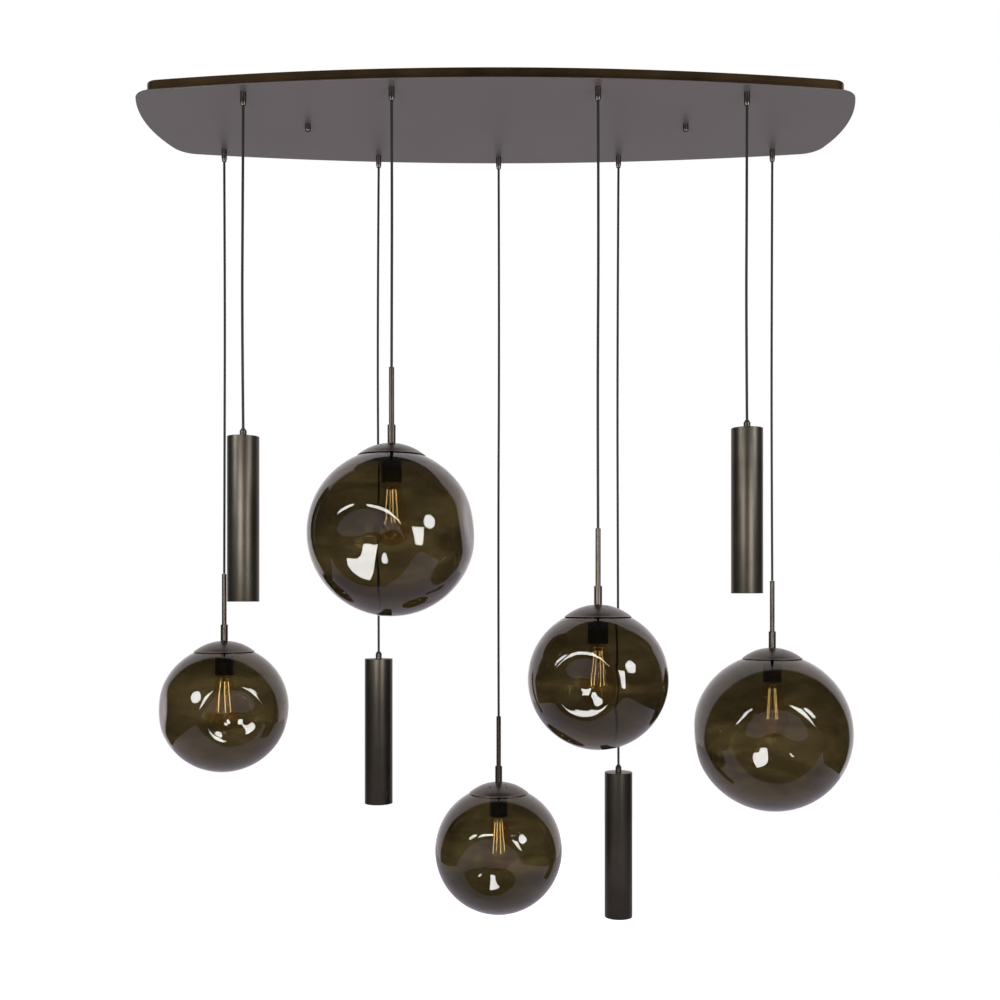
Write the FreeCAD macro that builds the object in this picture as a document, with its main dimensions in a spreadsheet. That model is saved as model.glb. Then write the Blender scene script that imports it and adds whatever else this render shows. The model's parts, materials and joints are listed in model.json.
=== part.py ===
"""Cluster pendant: one long canopy that carries five dented glass globes and four tubes.

Lengths are millimetres. The origin is the middle of the ceiling bracket's top face, +Z is up
and -Y is the front.
"""
import FreeCAD, Part
import Sketcher
import math
import os

DOC = FreeCAD.newDocument("ClusterPendant")
SHEET = DOC.addObject("Spreadsheet::Sheet", "Sizes")

CANOPY_SIZES = {
    "plate_length": 1350,
    "plate_width": 390,
    "plate_thickness": 2,
    "side_radius": 3970,
    "end_radius": 380,
    "corner_radius": 48,
    "canopy_height": 28,
    "frame_inset": 20,
    "frame_wall": 2,
    "row_inset": 32,
    "front_tube_from_end": 220,
    "front_globe_from_middle": 184.5,
    "back_globe_from_end": 117,
    "back_tube_from_middle": 247.5,
    "bracket_length": 900,
    "bracket_width": 30,
    "bracket_thickness": 3,
    "ceiling_slot_spacing": 500,
    "ceiling_slot_length": 12,
    "ceiling_slot_width": 5.5,
    "stud_spacing": 728,
    "stud_diameter": 6,
    "stud_collar_diameter": 11,
    "stud_collar_thickness": 1.5,
    "stud_reach": 10,
    "cap_nut_diameter": 11,
    "cap_nut_length": 16,
    "cap_nut_bore_depth": 12,
    "block_stud_gap": 17,
    "block_length": 88,
    "block_width": 24,
    "block_tall": 18,
    "block_port_pitch": 30,
    "block_screw_diameter": 5,
    "block_screw_depth": 6,
}

GRIP_SIZES = {
    "grip_diameter": 11,
    "grip_length": 24,
    "grip_taper_length": 6,
    "grip_mouth_diameter": 8.4,
    "thread_diameter": 9.6,
    "thread_above_plate": 4,
    "nut_diameter": 16,
    "nut_thickness": 3,
    "side_screw_diameter": 3,
    "side_screw_proud": 0.7,
    "side_screw_drop": 15,
}

CORD_SIZES = {
    "cord_diameter": 4.8,
    "cord_bore": 5.4,
    "lead_drop": 9.5,
    "lead_bend": 8,
    "lead_entry": 22,
    "hang_gap": 0.3,
    "fit_gap": 0.1,
    "seat_gap": 0.3,
}

GLOBE_SIZES = {
    "stem_diameter": 9.5,
    "stem_wall": 1.2,
    "stem_length": 117,
    "stem_in_collar": 14,
    "collar_diameter": 14.5,
    "collar_length": 33,
    "collar_screw_drop": 9,
    "nipple_diameter": 10,
    "nipple_in_collar": 12,
    "cap_diameter": 121,
    "cap_tall": 22,
    "cap_wall": 1.5,
    "cap_screw_diameter": 3.4,
    "cap_screw_circle": 46,
    "cap_screw_turn": 188,
    "cap_screw_sunk": 0.9,
    "glass_wall": 3,
    "mouth_diameter": 84,
    "spring_mouth_gap": 4,
    "spring_hub_diameter": 56,
    "spring_span": 100,
    "spring_arm_width": 14,
    "spring_thickness": 1,
    "holder_neck_diameter": 16,
    "holder_drop": 10,
    "holder_diameter": 37,
    "holder_length": 38,
    "socket_depth": 25,
    "socket_diameter": 27.2,
    "bulb_base_diameter": 26.4,
    "bulb_neck_diameter": 29,
    "bulb_neck_length": 3,
    "bulb_diameter": 64,
    "bulb_length": 112,
    "rim_rounding": 12,
    "large_front_dent_rim": 72,
    "large_front_dent_depth": 20,
    "large_side_dent_rim": 57,
    "large_side_dent_depth": 9,
    "small_front_dent_rim": 60,
    "small_front_dent_depth": 17,
    "small_side_dent_rim": 48,
    "small_side_dent_depth": 8,
}

TUBE_SIZES = {
    "tube_diameter": 57,
    "tube_length": 298,
    "tube_wall": 1.5,
    "tube_top_thickness": 2,
    "tube_grip_diameter": 12.5,
    "tube_grip_body": 11,
    "tube_grip_length": 15,
    "tube_grip_neck_diameter": 8,
    "tube_thread_below": 8,
    "lamp_recess": 26,
    "lamp_diameter": 50,
    "lamp_rim": 6,
    "lamp_length": 48,
    "lamp_back_diameter": 27,
    "lamp_holder_diameter": 30,
    "lamp_holder_length": 22,
    "carrier_thickness": 1.5,
}

# Each pendant: its row, its side (-1 left, 1 right, 0 in the middle) and the size that places it.
ROW_SIGN = {"front": -1, "back": 1}
PLACES = {
    "front_left_tube": ("front", -1, "front_tube_from_end"),
    "front_large_globe": ("front", -1, "front_globe_from_middle"),
    "front_small_globe": ("front", 1, "front_globe_from_middle"),
    "front_right_tube": ("front", 1, "front_tube_from_end"),
    "back_left_globe": ("back", -1, "back_globe_from_end"),
    "back_left_tube": ("back", -1, "back_tube_from_middle"),
    "back_middle_globe": ("back", 0, "back_tube_from_middle"),
    "back_right_tube": ("back", 1, "back_tube_from_middle"),
    "back_right_globe": ("back", 1, "back_globe_from_end"),
}

CORD_LENGTHS = {
    "front_left_tube": 582,
    "front_large_globe": 476,
    "front_small_globe": 764,
    "front_right_tube": 567,
    "back_left_globe": 839,
    "back_left_tube": 998,
    "back_middle_globe": 1133,
    "back_right_tube": 1232,
    "back_right_globe": 853,
}

# How far each cord bows to +X and to +Y, at a third and at two thirds of its length.
CORD_BOWS = {
    "front_left_tube": ((-1.2, 0.6), (-2.0, -0.7)),
    "front_large_globe": ((0.8, -0.5), (0.3, 0.8)),
    "front_small_globe": ((1.0, 0.8), (-0.9, 0.5)),
    "front_right_tube": ((-0.7, -0.8), (-1.4, 0.5)),
    "back_left_globe": ((1.3, 0.6), (0.9, -0.8)),
    "back_left_tube": ((-2.6, 0.9), (-0.6, -0.9)),
    "back_middle_globe": ((1.2, -0.7), (-1.0, 0.8)),
    "back_right_tube": ((-2.4, 0.9), (-1.2, -0.7)),
    "back_right_globe": ((-0.9, 0.8), (-1.7, -0.6)),
}

GLOBE_RADII = {
    "front_large_globe": 150,
    "front_small_globe": 125.5,
    "back_left_globe": 129,
    "back_middle_globe": 131,
    "back_right_globe": 160,
}

# Each globe: its size group and its four dents, as turn about the stem from +X and tilt above
# the middle, in degrees. The first dent is the deep one at the front.
DENTS = {
    "front_large_globe": ("large", ((-98, -16), (-10, 6), (155, -10), (84, -18))),
    "front_small_globe": ("small", ((-107, -6), (20, -10), (148, -6), (83, -20))),
    "back_left_globe": ("small", ((-66, -7), (30, -10), (-150, 2), (95, -12))),
    "back_middle_globe": ("small", ((-96, -6), (20, 2), (158, 2), (88, -8))),
    "back_right_globe": ("large", ((-96, -7), (5, 4), (160, -6), (90, -15))),
}
DENT_SIDES = ("front", "side", "side", "side")
CAP_SCREWS = 3


def fill_sheet():
    """Write every driving size into the sheet as an aliased plain number."""
    rows = {}
    for group in (CANOPY_SIZES, GRIP_SIZES, CORD_SIZES, GLOBE_SIZES, TUBE_SIZES):
        rows.update(group)
    for name, length in CORD_LENGTHS.items():
        rows[f"{name}_cord_length"] = length
    for name, radius in GLOBE_RADII.items():
        rows[f"{name}_radius"] = radius
    for name, (group, dents) in DENTS.items():
        for number, (turn, tilt) in enumerate(dents, start=1):
            rows[f"{name}_dent_{number}_turn"] = turn
            rows[f"{name}_dent_{number}_tilt"] = tilt
    for line, (alias, value) in enumerate(rows.items(), start=1):
        SHEET.set(f"A{line}", alias)
        SHEET.set(f"B{line}", str(value))
        SHEET.setAlias(f"B{line}", alias)
    DOC.recompute()


class Size:
    """A number together with the sheet formula that gives it."""

    def __init__(self, value, text):
        self.value = value
        self.text = text

    def __add__(self, other):
        other = as_size(other)
        return Size(self.value + other.value, f"({self.text} + {other.text})")

    def __sub__(self, other):
        other = as_size(other)
        return Size(self.value - other.value, f"({self.text} - {other.text})")

    def __mul__(self, other):
        other = as_size(other)
        return Size(self.value * other.value, f"({self.text} * {other.text})")

    def __truediv__(self, other):
        other = as_size(other)
        return Size(self.value / other.value, f"({self.text} / {other.text})")

    def __neg__(self):
        return Size(-self.value, f"(0 - {self.text})")


def as_size(number):
    """A plain number as a Size."""
    if isinstance(number, Size):
        return number
    return Size(float(number), str(float(number)))


def cell(alias):
    """The sheet's cell of that alias."""
    return Size(float(SHEET.get(alias)), f"Sizes.{alias}")


def root(size):
    """The square root of a Size."""
    return Size(math.sqrt(size.value), f"sqrt({size.text})")


def sine(size):
    """The sine of a Size in degrees."""
    return Size(math.sin(math.radians(size.value)), f"sin({size.text} * 1 deg)")


def cosine(size):
    """The cosine of a Size in degrees."""
    return Size(math.cos(math.radians(size.value)), f"cos({size.text} * 1 deg)")


def bind(item, path, size):
    """Tie a property of an object to the sheet."""
    item.setExpression(path, as_size(size).text)


def place(item, x=0, y=0, z=0):
    """Tie an object's place to the sheet."""
    bind(item, "Placement.Base.x", x)
    bind(item, "Placement.Base.y", y)
    bind(item, "Placement.Base.z", z)


def new_body(name):
    """An empty body."""
    body = DOC.addObject("PartDesign::Body", name)
    body.Label = name
    return body


def new_sketch(body, name, role):
    """A sketch on one of the body's own origin planes."""
    sketch = body.newObject("Sketcher::SketchObject", f"{body.Name}_{name}")
    plane = [item for item in body.Origin.OriginFeatures if item.Role == role][0]
    sketch.AttachmentSupport = [(plane, "")]
    sketch.MapMode = "FlatFace"
    return sketch


def fix_point(sketch, edge, end, x, y):
    """Hold one end of an edge at a place that the sheet gives. None leaves a direction free."""
    if x is not None and x.value == 0:
        sketch.addConstraint(Sketcher.Constraint("PointOnObject", edge, end, -2))
    elif x is not None:
        index = sketch.addConstraint(Sketcher.Constraint("DistanceX", -1, 1, edge, end, x.value))
        bind(sketch, f"Constraints[{index}]", x)
    if y is not None and y.value == 0:
        sketch.addConstraint(Sketcher.Constraint("PointOnObject", edge, end, -1))
    elif y is not None:
        index = sketch.addConstraint(Sketcher.Constraint("DistanceY", -1, 1, edge, end, y.value))
        bind(sketch, f"Constraints[{index}]", y)


def turned(name, points, arcs=None):
    """A body turned about Z. Points are (radius, height); an arc keeps its middle on the axis.

    arcs maps the number of the point where an arc starts to the height of its middle, and to 1
    where the arc runs above its middle or -1 below. One end of each arc gives only its radius,
    and its height follows from the arc.
    """
    arcs = arcs or {}
    body = new_body(name)
    sketch = new_sketch(body, "profile", "XZ_Plane")
    count = len(points)
    radii = [as_size(radius) for radius, height in points]
    heights = [None if height is None else as_size(height) for radius, height in points]
    flat = [0.0 if height is None else height.value for height in heights]
    for start, (middle, above) in arcs.items():
        stop = (start + 1) % count
        known, free = (start, stop) if heights[stop] is None else (stop, start)
        reach = math.hypot(radii[known].value, flat[known] - middle.value)
        side = math.sqrt(reach ** 2 - radii[free].value ** 2)
        flat[free] = middle.value + above * side
    corners = [FreeCAD.Vector(radii[n].value, flat[n], 0) for n in range(count)]
    starts, stops = {}, {}
    for n in range(count):
        here, there = corners[n], corners[(n + 1) % count]
        if n in arcs:
            middle = FreeCAD.Vector(0, arcs[n][0].value, 0)
            turn_here = math.atan2(here.y - middle.y, here.x)
            turn_there = math.atan2(there.y - middle.y, there.x)
            circle = Part.Circle(middle, FreeCAD.Vector(0, 0, 1), (here - middle).Length)
            low, high = sorted((turn_here, turn_there))
            edge = sketch.addGeometry(Part.ArcOfCircle(circle, low, high), False)
            forward = turn_here < turn_there
            starts[n], stops[n] = ((edge, 1), (edge, 2)) if forward else ((edge, 2), (edge, 1))
        else:
            edge = sketch.addGeometry(Part.LineSegment(here, there), False)
            starts[n], stops[n] = (edge, 1), (edge, 2)
    for n in range(count):
        sketch.addConstraint(Sketcher.Constraint("Coincident", *stops[n], *starts[(n + 1) % count]))
    for n in range(count):
        fix_point(sketch, *starts[n], radii[n], heights[n])
    for n, (middle, above) in arcs.items():
        fix_point(sketch, starts[n][0], 3, as_size(0), middle)
    spin = body.newObject("PartDesign::Revolution", f"{name}_spin")
    spin.Profile = sketch
    spin.ReferenceAxis = (sketch, ["V_Axis"])
    spin.Angle = 360
    return body


def bowed_slab(name, inset, thickness):
    """The canopy's outline, drawn in by an inset: two long bows, two end bows, round corners."""
    body = new_body(name)
    sketch = new_sketch(body, "outline", "XY_Plane")
    half_length = cell("plate_length") / 2 - inset
    half_width = cell("plate_width") / 2 - inset
    side = cell("side_radius") - inset
    end = cell("end_radius") - inset
    side_middle = half_width - side
    end_middle = half_length - end
    corner_x, corner_y = circles_meet(side.value, side_middle.value, end.value, end_middle.value)
    side_turn = math.atan2(corner_y - side_middle.value, corner_x)
    end_turn = math.atan2(corner_y, corner_x - end_middle.value)
    bows = (
        (0, side_middle, side, side_turn, math.pi - side_turn),
        (-end_middle, 0, end, math.pi - end_turn, math.pi + end_turn),
        (0, -side_middle, side, math.pi + side_turn, 2 * math.pi - side_turn),
        (end_middle, 0, end, -end_turn, end_turn),
    )
    edges = []
    for x, y, radius, low, high in bows:
        middle = FreeCAD.Vector(as_size(x).value, as_size(y).value, 0)
        circle = Part.Circle(middle, FreeCAD.Vector(0, 0, 1), radius.value)
        edges.append(sketch.addGeometry(Part.ArcOfCircle(circle, low, high), False))
    for n, (x, y, radius, low, high) in enumerate(bows):
        sketch.addConstraint(Sketcher.Constraint("Coincident", edges[n], 2, edges[(n + 1) % 4], 1))
        fix_point(sketch, edges[n], 3, as_size(x), as_size(y))
        index = sketch.addConstraint(Sketcher.Constraint("Radius", edges[n], radius.value))
        bind(sketch, f"Constraints[{index}]", radius)
    pad = body.newObject("PartDesign::Pad", f"{name}_pad")
    pad.Profile = sketch
    bind(pad, "Length", thickness)
    DOC.recompute()
    upright = [f"Edge{n}" for n, edge in enumerate(pad.Shape.Edges, start=1) if stands(edge)]
    fillet = body.newObject("PartDesign::Fillet", f"{name}_corners")
    fillet.Base = (pad, upright)
    bind(fillet, "Radius", cell("corner_radius") - inset)
    body.Tip = fillet
    return body


def circles_meet(side, side_middle, end, end_middle):
    """Where the long bow and the end bow cross, in the quarter with both coordinates positive."""
    span = math.hypot(end_middle, side_middle)
    along = (side ** 2 - end ** 2 + span ** 2) / (2 * span)
    across = math.sqrt(side ** 2 - along ** 2)
    ahead_x, ahead_y = end_middle / span, -side_middle / span
    return along * ahead_x + across * ahead_y, side_middle + along * ahead_y - across * ahead_x


def stands(edge):
    """True for an upright straight edge."""
    low, high = edge.Vertexes[0].Point, edge.Vertexes[-1].Point
    return abs(low.z - high.z) > 0.5 and math.hypot(low.x - high.x, low.y - high.y) < 1e-6


def drill(body, name, holes):
    """Cut round holes through a body. holes are (x, y, radius)."""
    sketch = new_sketch(body, name, "XY_Plane")
    for x, y, radius in holes:
        x, y, radius = as_size(x), as_size(y), as_size(radius)
        middle = FreeCAD.Vector(x.value, y.value, 0)
        circle = Part.Circle(middle, FreeCAD.Vector(0, 0, 1), radius.value)
        edge = sketch.addGeometry(circle, False)
        fix_point(sketch, edge, 3, x, y)
        index = sketch.addConstraint(Sketcher.Constraint("Radius", edge, radius.value))
        bind(sketch, f"Constraints[{index}]", radius)
    pocket = body.newObject("PartDesign::Pocket", f"{body.Name}_{name}_cut")
    pocket.Profile = sketch
    pocket.Type = "ThroughAll"
    pocket.Midplane = True
    body.Tip = pocket
    return pocket


def cylinder(name, diameter, length, x=0, y=0, z=0):
    """An upright round bar that stands on z."""
    bar = DOC.addObject("Part::Cylinder", name)
    bind(bar, "Radius", as_size(diameter) / 2)
    bind(bar, "Height", length)
    place(bar, x, y, z)
    return bar


def joined(name, pieces):
    """One object of several separate solids."""
    group = DOC.addObject("Part::Compound", name)
    group.Links = pieces
    group.Label = name
    return group


def cut(name, base, tool):
    """The base without the tool."""
    result = DOC.addObject("Part::Cut", name)
    result.Base = base
    result.Tool = tool
    result.Label = name
    return result


def with_side_screw(name, body, spot, outer, inner, side):
    """A round wall with a screw hole in its side, and the screw, a little proud of the wall.

    outer and inner are the wall's diameters, and side is -1 for the front and 1 for the back.
    """
    x, y, z = spot
    turn = FreeCAD.Rotation(FreeCAD.Vector(1, 0, 0), -90 * side)
    wall = (outer - inner) / 2
    pieces = []
    for kind, gap in (("hole", cell("fit_gap")), ("screw", as_size(0))):
        rod = DOC.addObject("Part::Cylinder", f"{name}_{kind}")
        bind(rod, "Radius", cell("side_screw_diameter") / 2 + gap)
        bind(rod, "Height", wall + cell("side_screw_proud"))
        rod.Placement.Rotation = turn
        place(rod, x, y + inner / 2 * side, z)
        pieces.append(rod)
    return [cut(f"{name}_wall", body, pieces[0]), pieces[1]]


def tube_solid(points, diameter, radii):
    """A round tube along straight runs that tangent arcs join."""
    points = [FreeCAD.Vector(*point) for point in points]
    edges = []
    here = points[0]
    for n in range(1, len(points) - 1):
        before = (points[n] - points[n - 1]).normalize()
        after = (points[n + 1] - points[n]).normalize()
        turn = before.getAngle(after)
        back = radii[n - 1] * math.tan(turn / 2)
        inward = (after - before).normalize()
        middle_reach = radii[n - 1] / math.cos(turn / 2)
        arc_start = points[n] - before * back
        arc_stop = points[n] + after * back
        arc_middle = points[n] + inward * (middle_reach - radii[n - 1])
        edges.append(Part.LineSegment(here, arc_start).toShape())
        edges.append(Part.Arc(arc_start, arc_middle, arc_stop).toShape())
        here = arc_stop
    edges.append(Part.LineSegment(here, points[-1]).toShape())
    path = Part.Wire(edges)
    ahead = points[1] - points[0]
    ring = Part.Wire(Part.Circle(points[0], ahead, diameter / 2).toShape())
    return path.makePipeShell([ring], True, False), path.Length


def bend_radii(points, sharpness=0.45):
    """The widest arcs that the runs of a route allow."""
    points = [FreeCAD.Vector(*point) for point in points]
    radii = []
    for n in range(1, len(points) - 1):
        before = points[n] - points[n - 1]
        after = points[n + 1] - points[n]
        run = min(before.Length, after.Length)
        radii.append(sharpness * run / math.tan(before.getAngle(after) / 2))
    return radii


def solid_node(name, shape):
    """A node whose shape is set here."""
    node = DOC.addObject("Part::Feature", name)
    node.Label = name
    node.Shape = shape
    return node


def report_tube(name, shape, diameter, length, radii):
    """Print a tube's bends and how its volume compares with its section times its length."""
    whole = math.pi * diameter ** 2 / 4 * length
    bends = ", ".join(f"{radius:.0f}" for radius in radii)
    print(f"{name}: length {length:.1f}, radii {bends}, volume ratio {shape.Volume / whole:.5f}")


def across(name):
    """A pendant's sideways place, measured from the plate's end or from its middle."""
    row, side, place_size = PLACES[name]
    reach = cell(place_size)
    if place_size.endswith("_from_end"):
        reach = cell("plate_length") / 2 - reach
    return reach * side


def depth(name):
    """A pendant's place to the front or back: its row follows the long bow of the plate."""
    side = cell("side_radius")
    bow = root(side * side - across(name) * across(name)) - side
    return (cell("plate_width") / 2 + bow - cell("row_inset")) * ROW_SIGN[PLACES[name][0]]


def mouth_level():
    """The height of the lower end of the canopy's cord grips."""
    return -cell("canopy_height") - cell("grip_length")


def cord_top():
    """The height where every free cord starts, which is also its swing hinge."""
    return mouth_level() - cell("hang_gap")


def cord_foot(name):
    """The height where a pendant's free cord ends, which is also its tilt hinge."""
    return cord_top() - cell(f"{name}_cord_length")


def is_tube(name):
    """True for a tube pendant."""
    return name.endswith("_tube")


def canopy_plate():
    """The thin bowed plate, with its cord holes and its two stud holes."""
    body = bowed_slab("canopy_plate", as_size(0), cell("plate_thickness"))
    hole = cell("thread_diameter") / 2 + cell("fit_gap")
    holes = [(across(name), depth(name), hole) for name in PLACES]
    stud_hole = cell("stud_diameter") / 2 + cell("seat_gap")
    holes += [(cell("stud_spacing") / 2 * side, 0, stud_hole) for side in (-1, 1)]
    drill(body, "holes", holes)
    place(body, 0, 0, -cell("canopy_height"))
    return body


def canopy_frame():
    """The upright wall that is welded to the plate and meets the ceiling."""
    tall = cell("canopy_height") - cell("plate_thickness")
    outer = bowed_slab("frame_outside", cell("frame_inset"), tall)
    inner = bowed_slab("frame_inside", cell("frame_inset") + cell("frame_wall"), tall)
    place(outer, 0, 0, -tall)
    place(inner, 0, 0, -tall)
    return cut("canopy_frame", outer, inner)


def ceiling_bracket():
    """The flat bar under the ceiling, with two screw slots and two stud holes."""
    bar = DOC.addObject("Part::Box", "bracket_bar")
    bind(bar, "Length", cell("bracket_length"))
    bind(bar, "Width", cell("bracket_width"))
    bind(bar, "Height", cell("bracket_thickness"))
    place(bar, -cell("bracket_length") / 2, -cell("bracket_width") / 2, -cell("bracket_thickness"))
    width, length = cell("ceiling_slot_width"), cell("ceiling_slot_length")
    thick = cell("bracket_thickness")
    tools = []
    for side in (-1, 1):
        middle = cell("ceiling_slot_spacing") / 2 * side
        straight = length - width
        for end in (-1, 1):
            name = f"slot_end_{len(tools)}"
            tools.append(cylinder(name, width, thick, middle + straight / 2 * end, 0, -thick))
        slot = DOC.addObject("Part::Box", f"slot_middle_{len(tools)}")
        bind(slot, "Length", straight)
        bind(slot, "Width", width)
        bind(slot, "Height", thick)
        place(slot, middle - straight / 2, -width / 2, -thick)
        tools.append(slot)
        hole = cell("stud_diameter") + cell("fit_gap")
        stud_x = cell("stud_spacing") / 2 * side
        tools.append(cylinder(f"stud_hole_{len(tools)}", hole, thick, stud_x, 0, -thick))
    slots = DOC.addObject("Part::MultiFuse", "bracket_holes")
    slots.Shapes = tools
    return cut("ceiling_bracket", bar, slots)


def bracket_studs():
    """Two studs pressed into the bar, each with a collar under it."""
    radius = cell("stud_diameter") / 2
    collar = cell("stud_collar_diameter") / 2
    under = -cell("bracket_thickness")
    collar_under = under - cell("stud_collar_thickness")
    foot = -cell("canopy_height") - cell("stud_reach")
    studs = []
    for number, side in enumerate((-1, 1), start=1):
        profile = [(0, 0), (radius, 0), (radius, under), (collar, under), (collar, collar_under)]
        profile += [(radius, collar_under), (radius, foot), (0, foot)]
        stud = turned(f"stud_{number}", profile)
        place(stud, cell("stud_spacing") / 2 * side, 0, 0)
        studs.append(stud)
    return joined("bracket_studs", studs)


def cap_nuts():
    """Two round-ended nuts that hold the plate up from below."""
    outer = cell("cap_nut_diameter") / 2
    bore = cell("stud_diameter") / 2 + cell("fit_gap")
    foot = -cell("cap_nut_length")
    shoulder = foot + outer
    nuts = []
    for number, side in enumerate((-1, 1), start=1):
        deep = -cell("cap_nut_bore_depth")
        profile = [(bore, 0), (outer, 0), (outer, shoulder), (0, None), (0, deep), (bore, deep)]
        nut = turned(f"cap_nut_{number}", profile, {2: (shoulder, -1)})
        place(nut, cell("stud_spacing") / 2 * side, 0, -cell("canopy_height"))
        nuts.append(nut)
    return joined("cap_nuts", nuts)


def cord_grips():
    """Nine grips whose threads pass up through the plate, each with its side screw."""
    bore = cell("cord_bore") / 2
    thread = cell("thread_diameter") / 2
    outer = cell("grip_diameter") / 2
    mouth = cell("grip_mouth_diameter") / 2
    top = cell("plate_thickness") + cell("thread_above_plate")
    foot = -cell("grip_length")
    taper = foot + cell("grip_taper_length")
    pieces = []
    for name in PLACES:
        profile = [(bore, top), (thread, top), (thread, 0), (outer, 0), (outer, taper)]
        profile += [(mouth, foot), (bore, foot)]
        grip = turned(f"{name}_canopy_grip", profile)
        place(grip, across(name), depth(name), -cell("canopy_height"))
        side = ROW_SIGN[PLACES[name][0]]
        level = -cell("canopy_height") - cell("side_screw_drop")
        pieces += with_side_screw(f"{name}_canopy_grip", grip, (across(name), depth(name), level),
                                  cell("grip_diameter"), cell("cord_bore"), side)
    return joined("cord_grips", pieces)


def ring(name, inner, outer, tall):
    """A flat ring that stands on its own origin."""
    return turned(name, [(inner, 0), (outer, 0), (outer, tall), (inner, tall)])


def grip_nuts():
    """Nine nuts on top of the plate."""
    inner = cell("thread_diameter") / 2 + cell("fit_gap")
    outer = cell("nut_diameter") / 2
    nuts = []
    for name in PLACES:
        nut = ring(f"{name}_nut", inner, outer, cell("nut_thickness"))
        place(nut, across(name), depth(name), cell("plate_thickness") - cell("canopy_height"))
        nuts.append(nut)
    return joined("grip_nuts", nuts)


def block_side(name):
    """Which terminal block a pendant's lead runs to: -1 the left one, 1 the right one."""
    return 1 if PLACES[name][1] > 0 else -1


def block_middle(side):
    """The sideways middle of a terminal block, which lies beside its stud."""
    stud = cell("stud_spacing") / 2 - cell("stud_diameter") / 2
    return (stud - cell("block_stud_gap") - cell("block_length") / 2) * side


def port_place(name):
    """Where a lead meets its terminal block, sideways."""
    row = PLACES[name][0]
    shared = [other for other in PLACES
              if PLACES[other][0] == row and block_side(other) == block_side(name)]
    shared.sort(key=lambda other: across(other).value)
    step = shared.index(name) - (len(shared) - 1) / 2
    return block_middle(block_side(name)) + cell("block_port_pitch") * step


def terminal_blocks():
    """Two connector blocks on top of the plate, with a screw well over each port."""
    blocks = []
    for number, side in enumerate((-1, 1), start=1):
        box = DOC.addObject("Part::Box", f"block_box_{number}")
        bind(box, "Length", cell("block_length"))
        bind(box, "Width", cell("block_width"))
        bind(box, "Height", cell("block_tall"))
        level = cell("plate_thickness") - cell("canopy_height")
        left = block_middle(side) - cell("block_length") / 2
        place(box, left, -cell("block_width") / 2, level)
        top = level + cell("block_tall")
        wells = []
        for name in PLACES:
            if block_side(name) != side:
                continue
            row = ROW_SIGN[PLACES[name][0]]
            wells.append(cylinder(f"{name}_well", cell("block_screw_diameter"),
                                  cell("block_screw_depth"), port_place(name),
                                  cell("block_width") / 4 * row,
                                  top - cell("block_screw_depth")))
        drills = DOC.addObject("Part::MultiFuse", f"block_wells_{number}")
        drills.Shapes = wells
        blocks.append(cut(f"terminal_block_{number}", box, drills))
    return joined("terminal_blocks", blocks)


def canopy_leads():
    """Nine leads, each from its grip's mouth up into the canopy and across to its block."""
    diameter = cell("cord_diameter").value
    level = -cell("canopy_height").value + cell("plate_thickness").value
    level += cell("block_tall").value - cell("lead_drop").value + diameter / 2
    leads = []
    for name in PLACES:
        x, y = across(name).value, depth(name).value
        side = ROW_SIGN[PLACES[name][0]]
        port = port_place(name).value
        wall = cell("block_width").value / 2 * side
        entry = wall + cell("lead_entry").value * side
        points = [(x, y, mouth_level().value), (x, y, level), (port, entry, level),
                  (port, wall, level)]
        radii = bend_radii(points)
        radii[0] = cell("lead_bend").value
        shape, length = tube_solid(points, diameter, radii)
        report_tube(f"{name} lead", shape, diameter, length, radii)
        leads.append(shape)
    return solid_node("canopy_leads", Part.Compound(leads))


def free_cord(name):
    """The hanging cord from the canopy's grip down to the pendant, nearly straight."""
    x, y = across(name).value, depth(name).value
    top, foot = cord_top().value, cord_foot(name).value
    diameter = cell("cord_diameter").value
    upper, lower = CORD_BOWS[name]
    drop = foot - top
    points = [(x, y, top), (x + upper[0], y + upper[1], top + drop / 3),
              (x + lower[0], y + lower[1], top + drop * 2 / 3), (x, y, foot)]
    radii = bend_radii(points)
    shape, length = tube_solid(points, diameter, radii)
    report_tube(f"{name} cord", shape, diameter, length, radii)
    return solid_node(f"{name}_cord", shape)


def stem(name):
    """The slim stem tube and the lead inside it."""
    outer = cell("stem_diameter") / 2
    bore = outer - cell("stem_wall")
    length = cell("stem_length")
    tube = turned(f"{name}_stem_tube", [(bore, -length), (outer, -length), (outer, 0), (bore, 0)])
    top = cord_foot(name) - cell("hang_gap")
    place(tube, across(name), depth(name), top)
    nipple_top = collar_foot() + cell("nipple_in_collar")
    lead = cylinder(f"{name}_stem_lead", cell("cord_diameter"), -nipple_top,
                    across(name), depth(name), top + nipple_top)
    return joined(f"{name}_stem", [tube, lead])


def collar_foot():
    """The collar's lower end, down from the stem's top."""
    return cell("stem_in_collar") - cell("stem_length") - cell("collar_length")


def collar(name):
    """The collar that clamps the stem, with the grub screw on its side."""
    outer = cell("collar_diameter") / 2
    seat = cell("stem_diameter") / 2 + cell("fit_gap")
    bore = outer - cell("stem_wall") * 2
    thread = cell("nipple_diameter") / 2 + cell("fit_gap")
    cable = cell("cord_bore") / 2
    foot = collar_foot()
    top = foot + cell("collar_length")
    stem_foot = top - cell("stem_in_collar")
    nipple_top = foot + cell("nipple_in_collar")
    profile = [(thread, foot), (outer, foot), (outer, top), (seat, top), (seat, stem_foot)]
    profile += [(cable, stem_foot), (cable, nipple_top), (thread, nipple_top)]
    body = turned(f"{name}_collar_tube", profile)
    level = cord_foot(name) - cell("hang_gap")
    place(body, across(name), depth(name), level)
    spot = (across(name), depth(name), level + top - cell("collar_screw_drop"))
    return joined(f"{name}_collar", with_side_screw(f"{name}_collar_clamp", body, spot,
                                                    cell("collar_diameter"), seat * 2, -1))


def cap_level(name):
    """The height of the cap's rim."""
    return cord_foot(name) - cell("hang_gap") + collar_foot() - cell("cap_tall")


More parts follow.
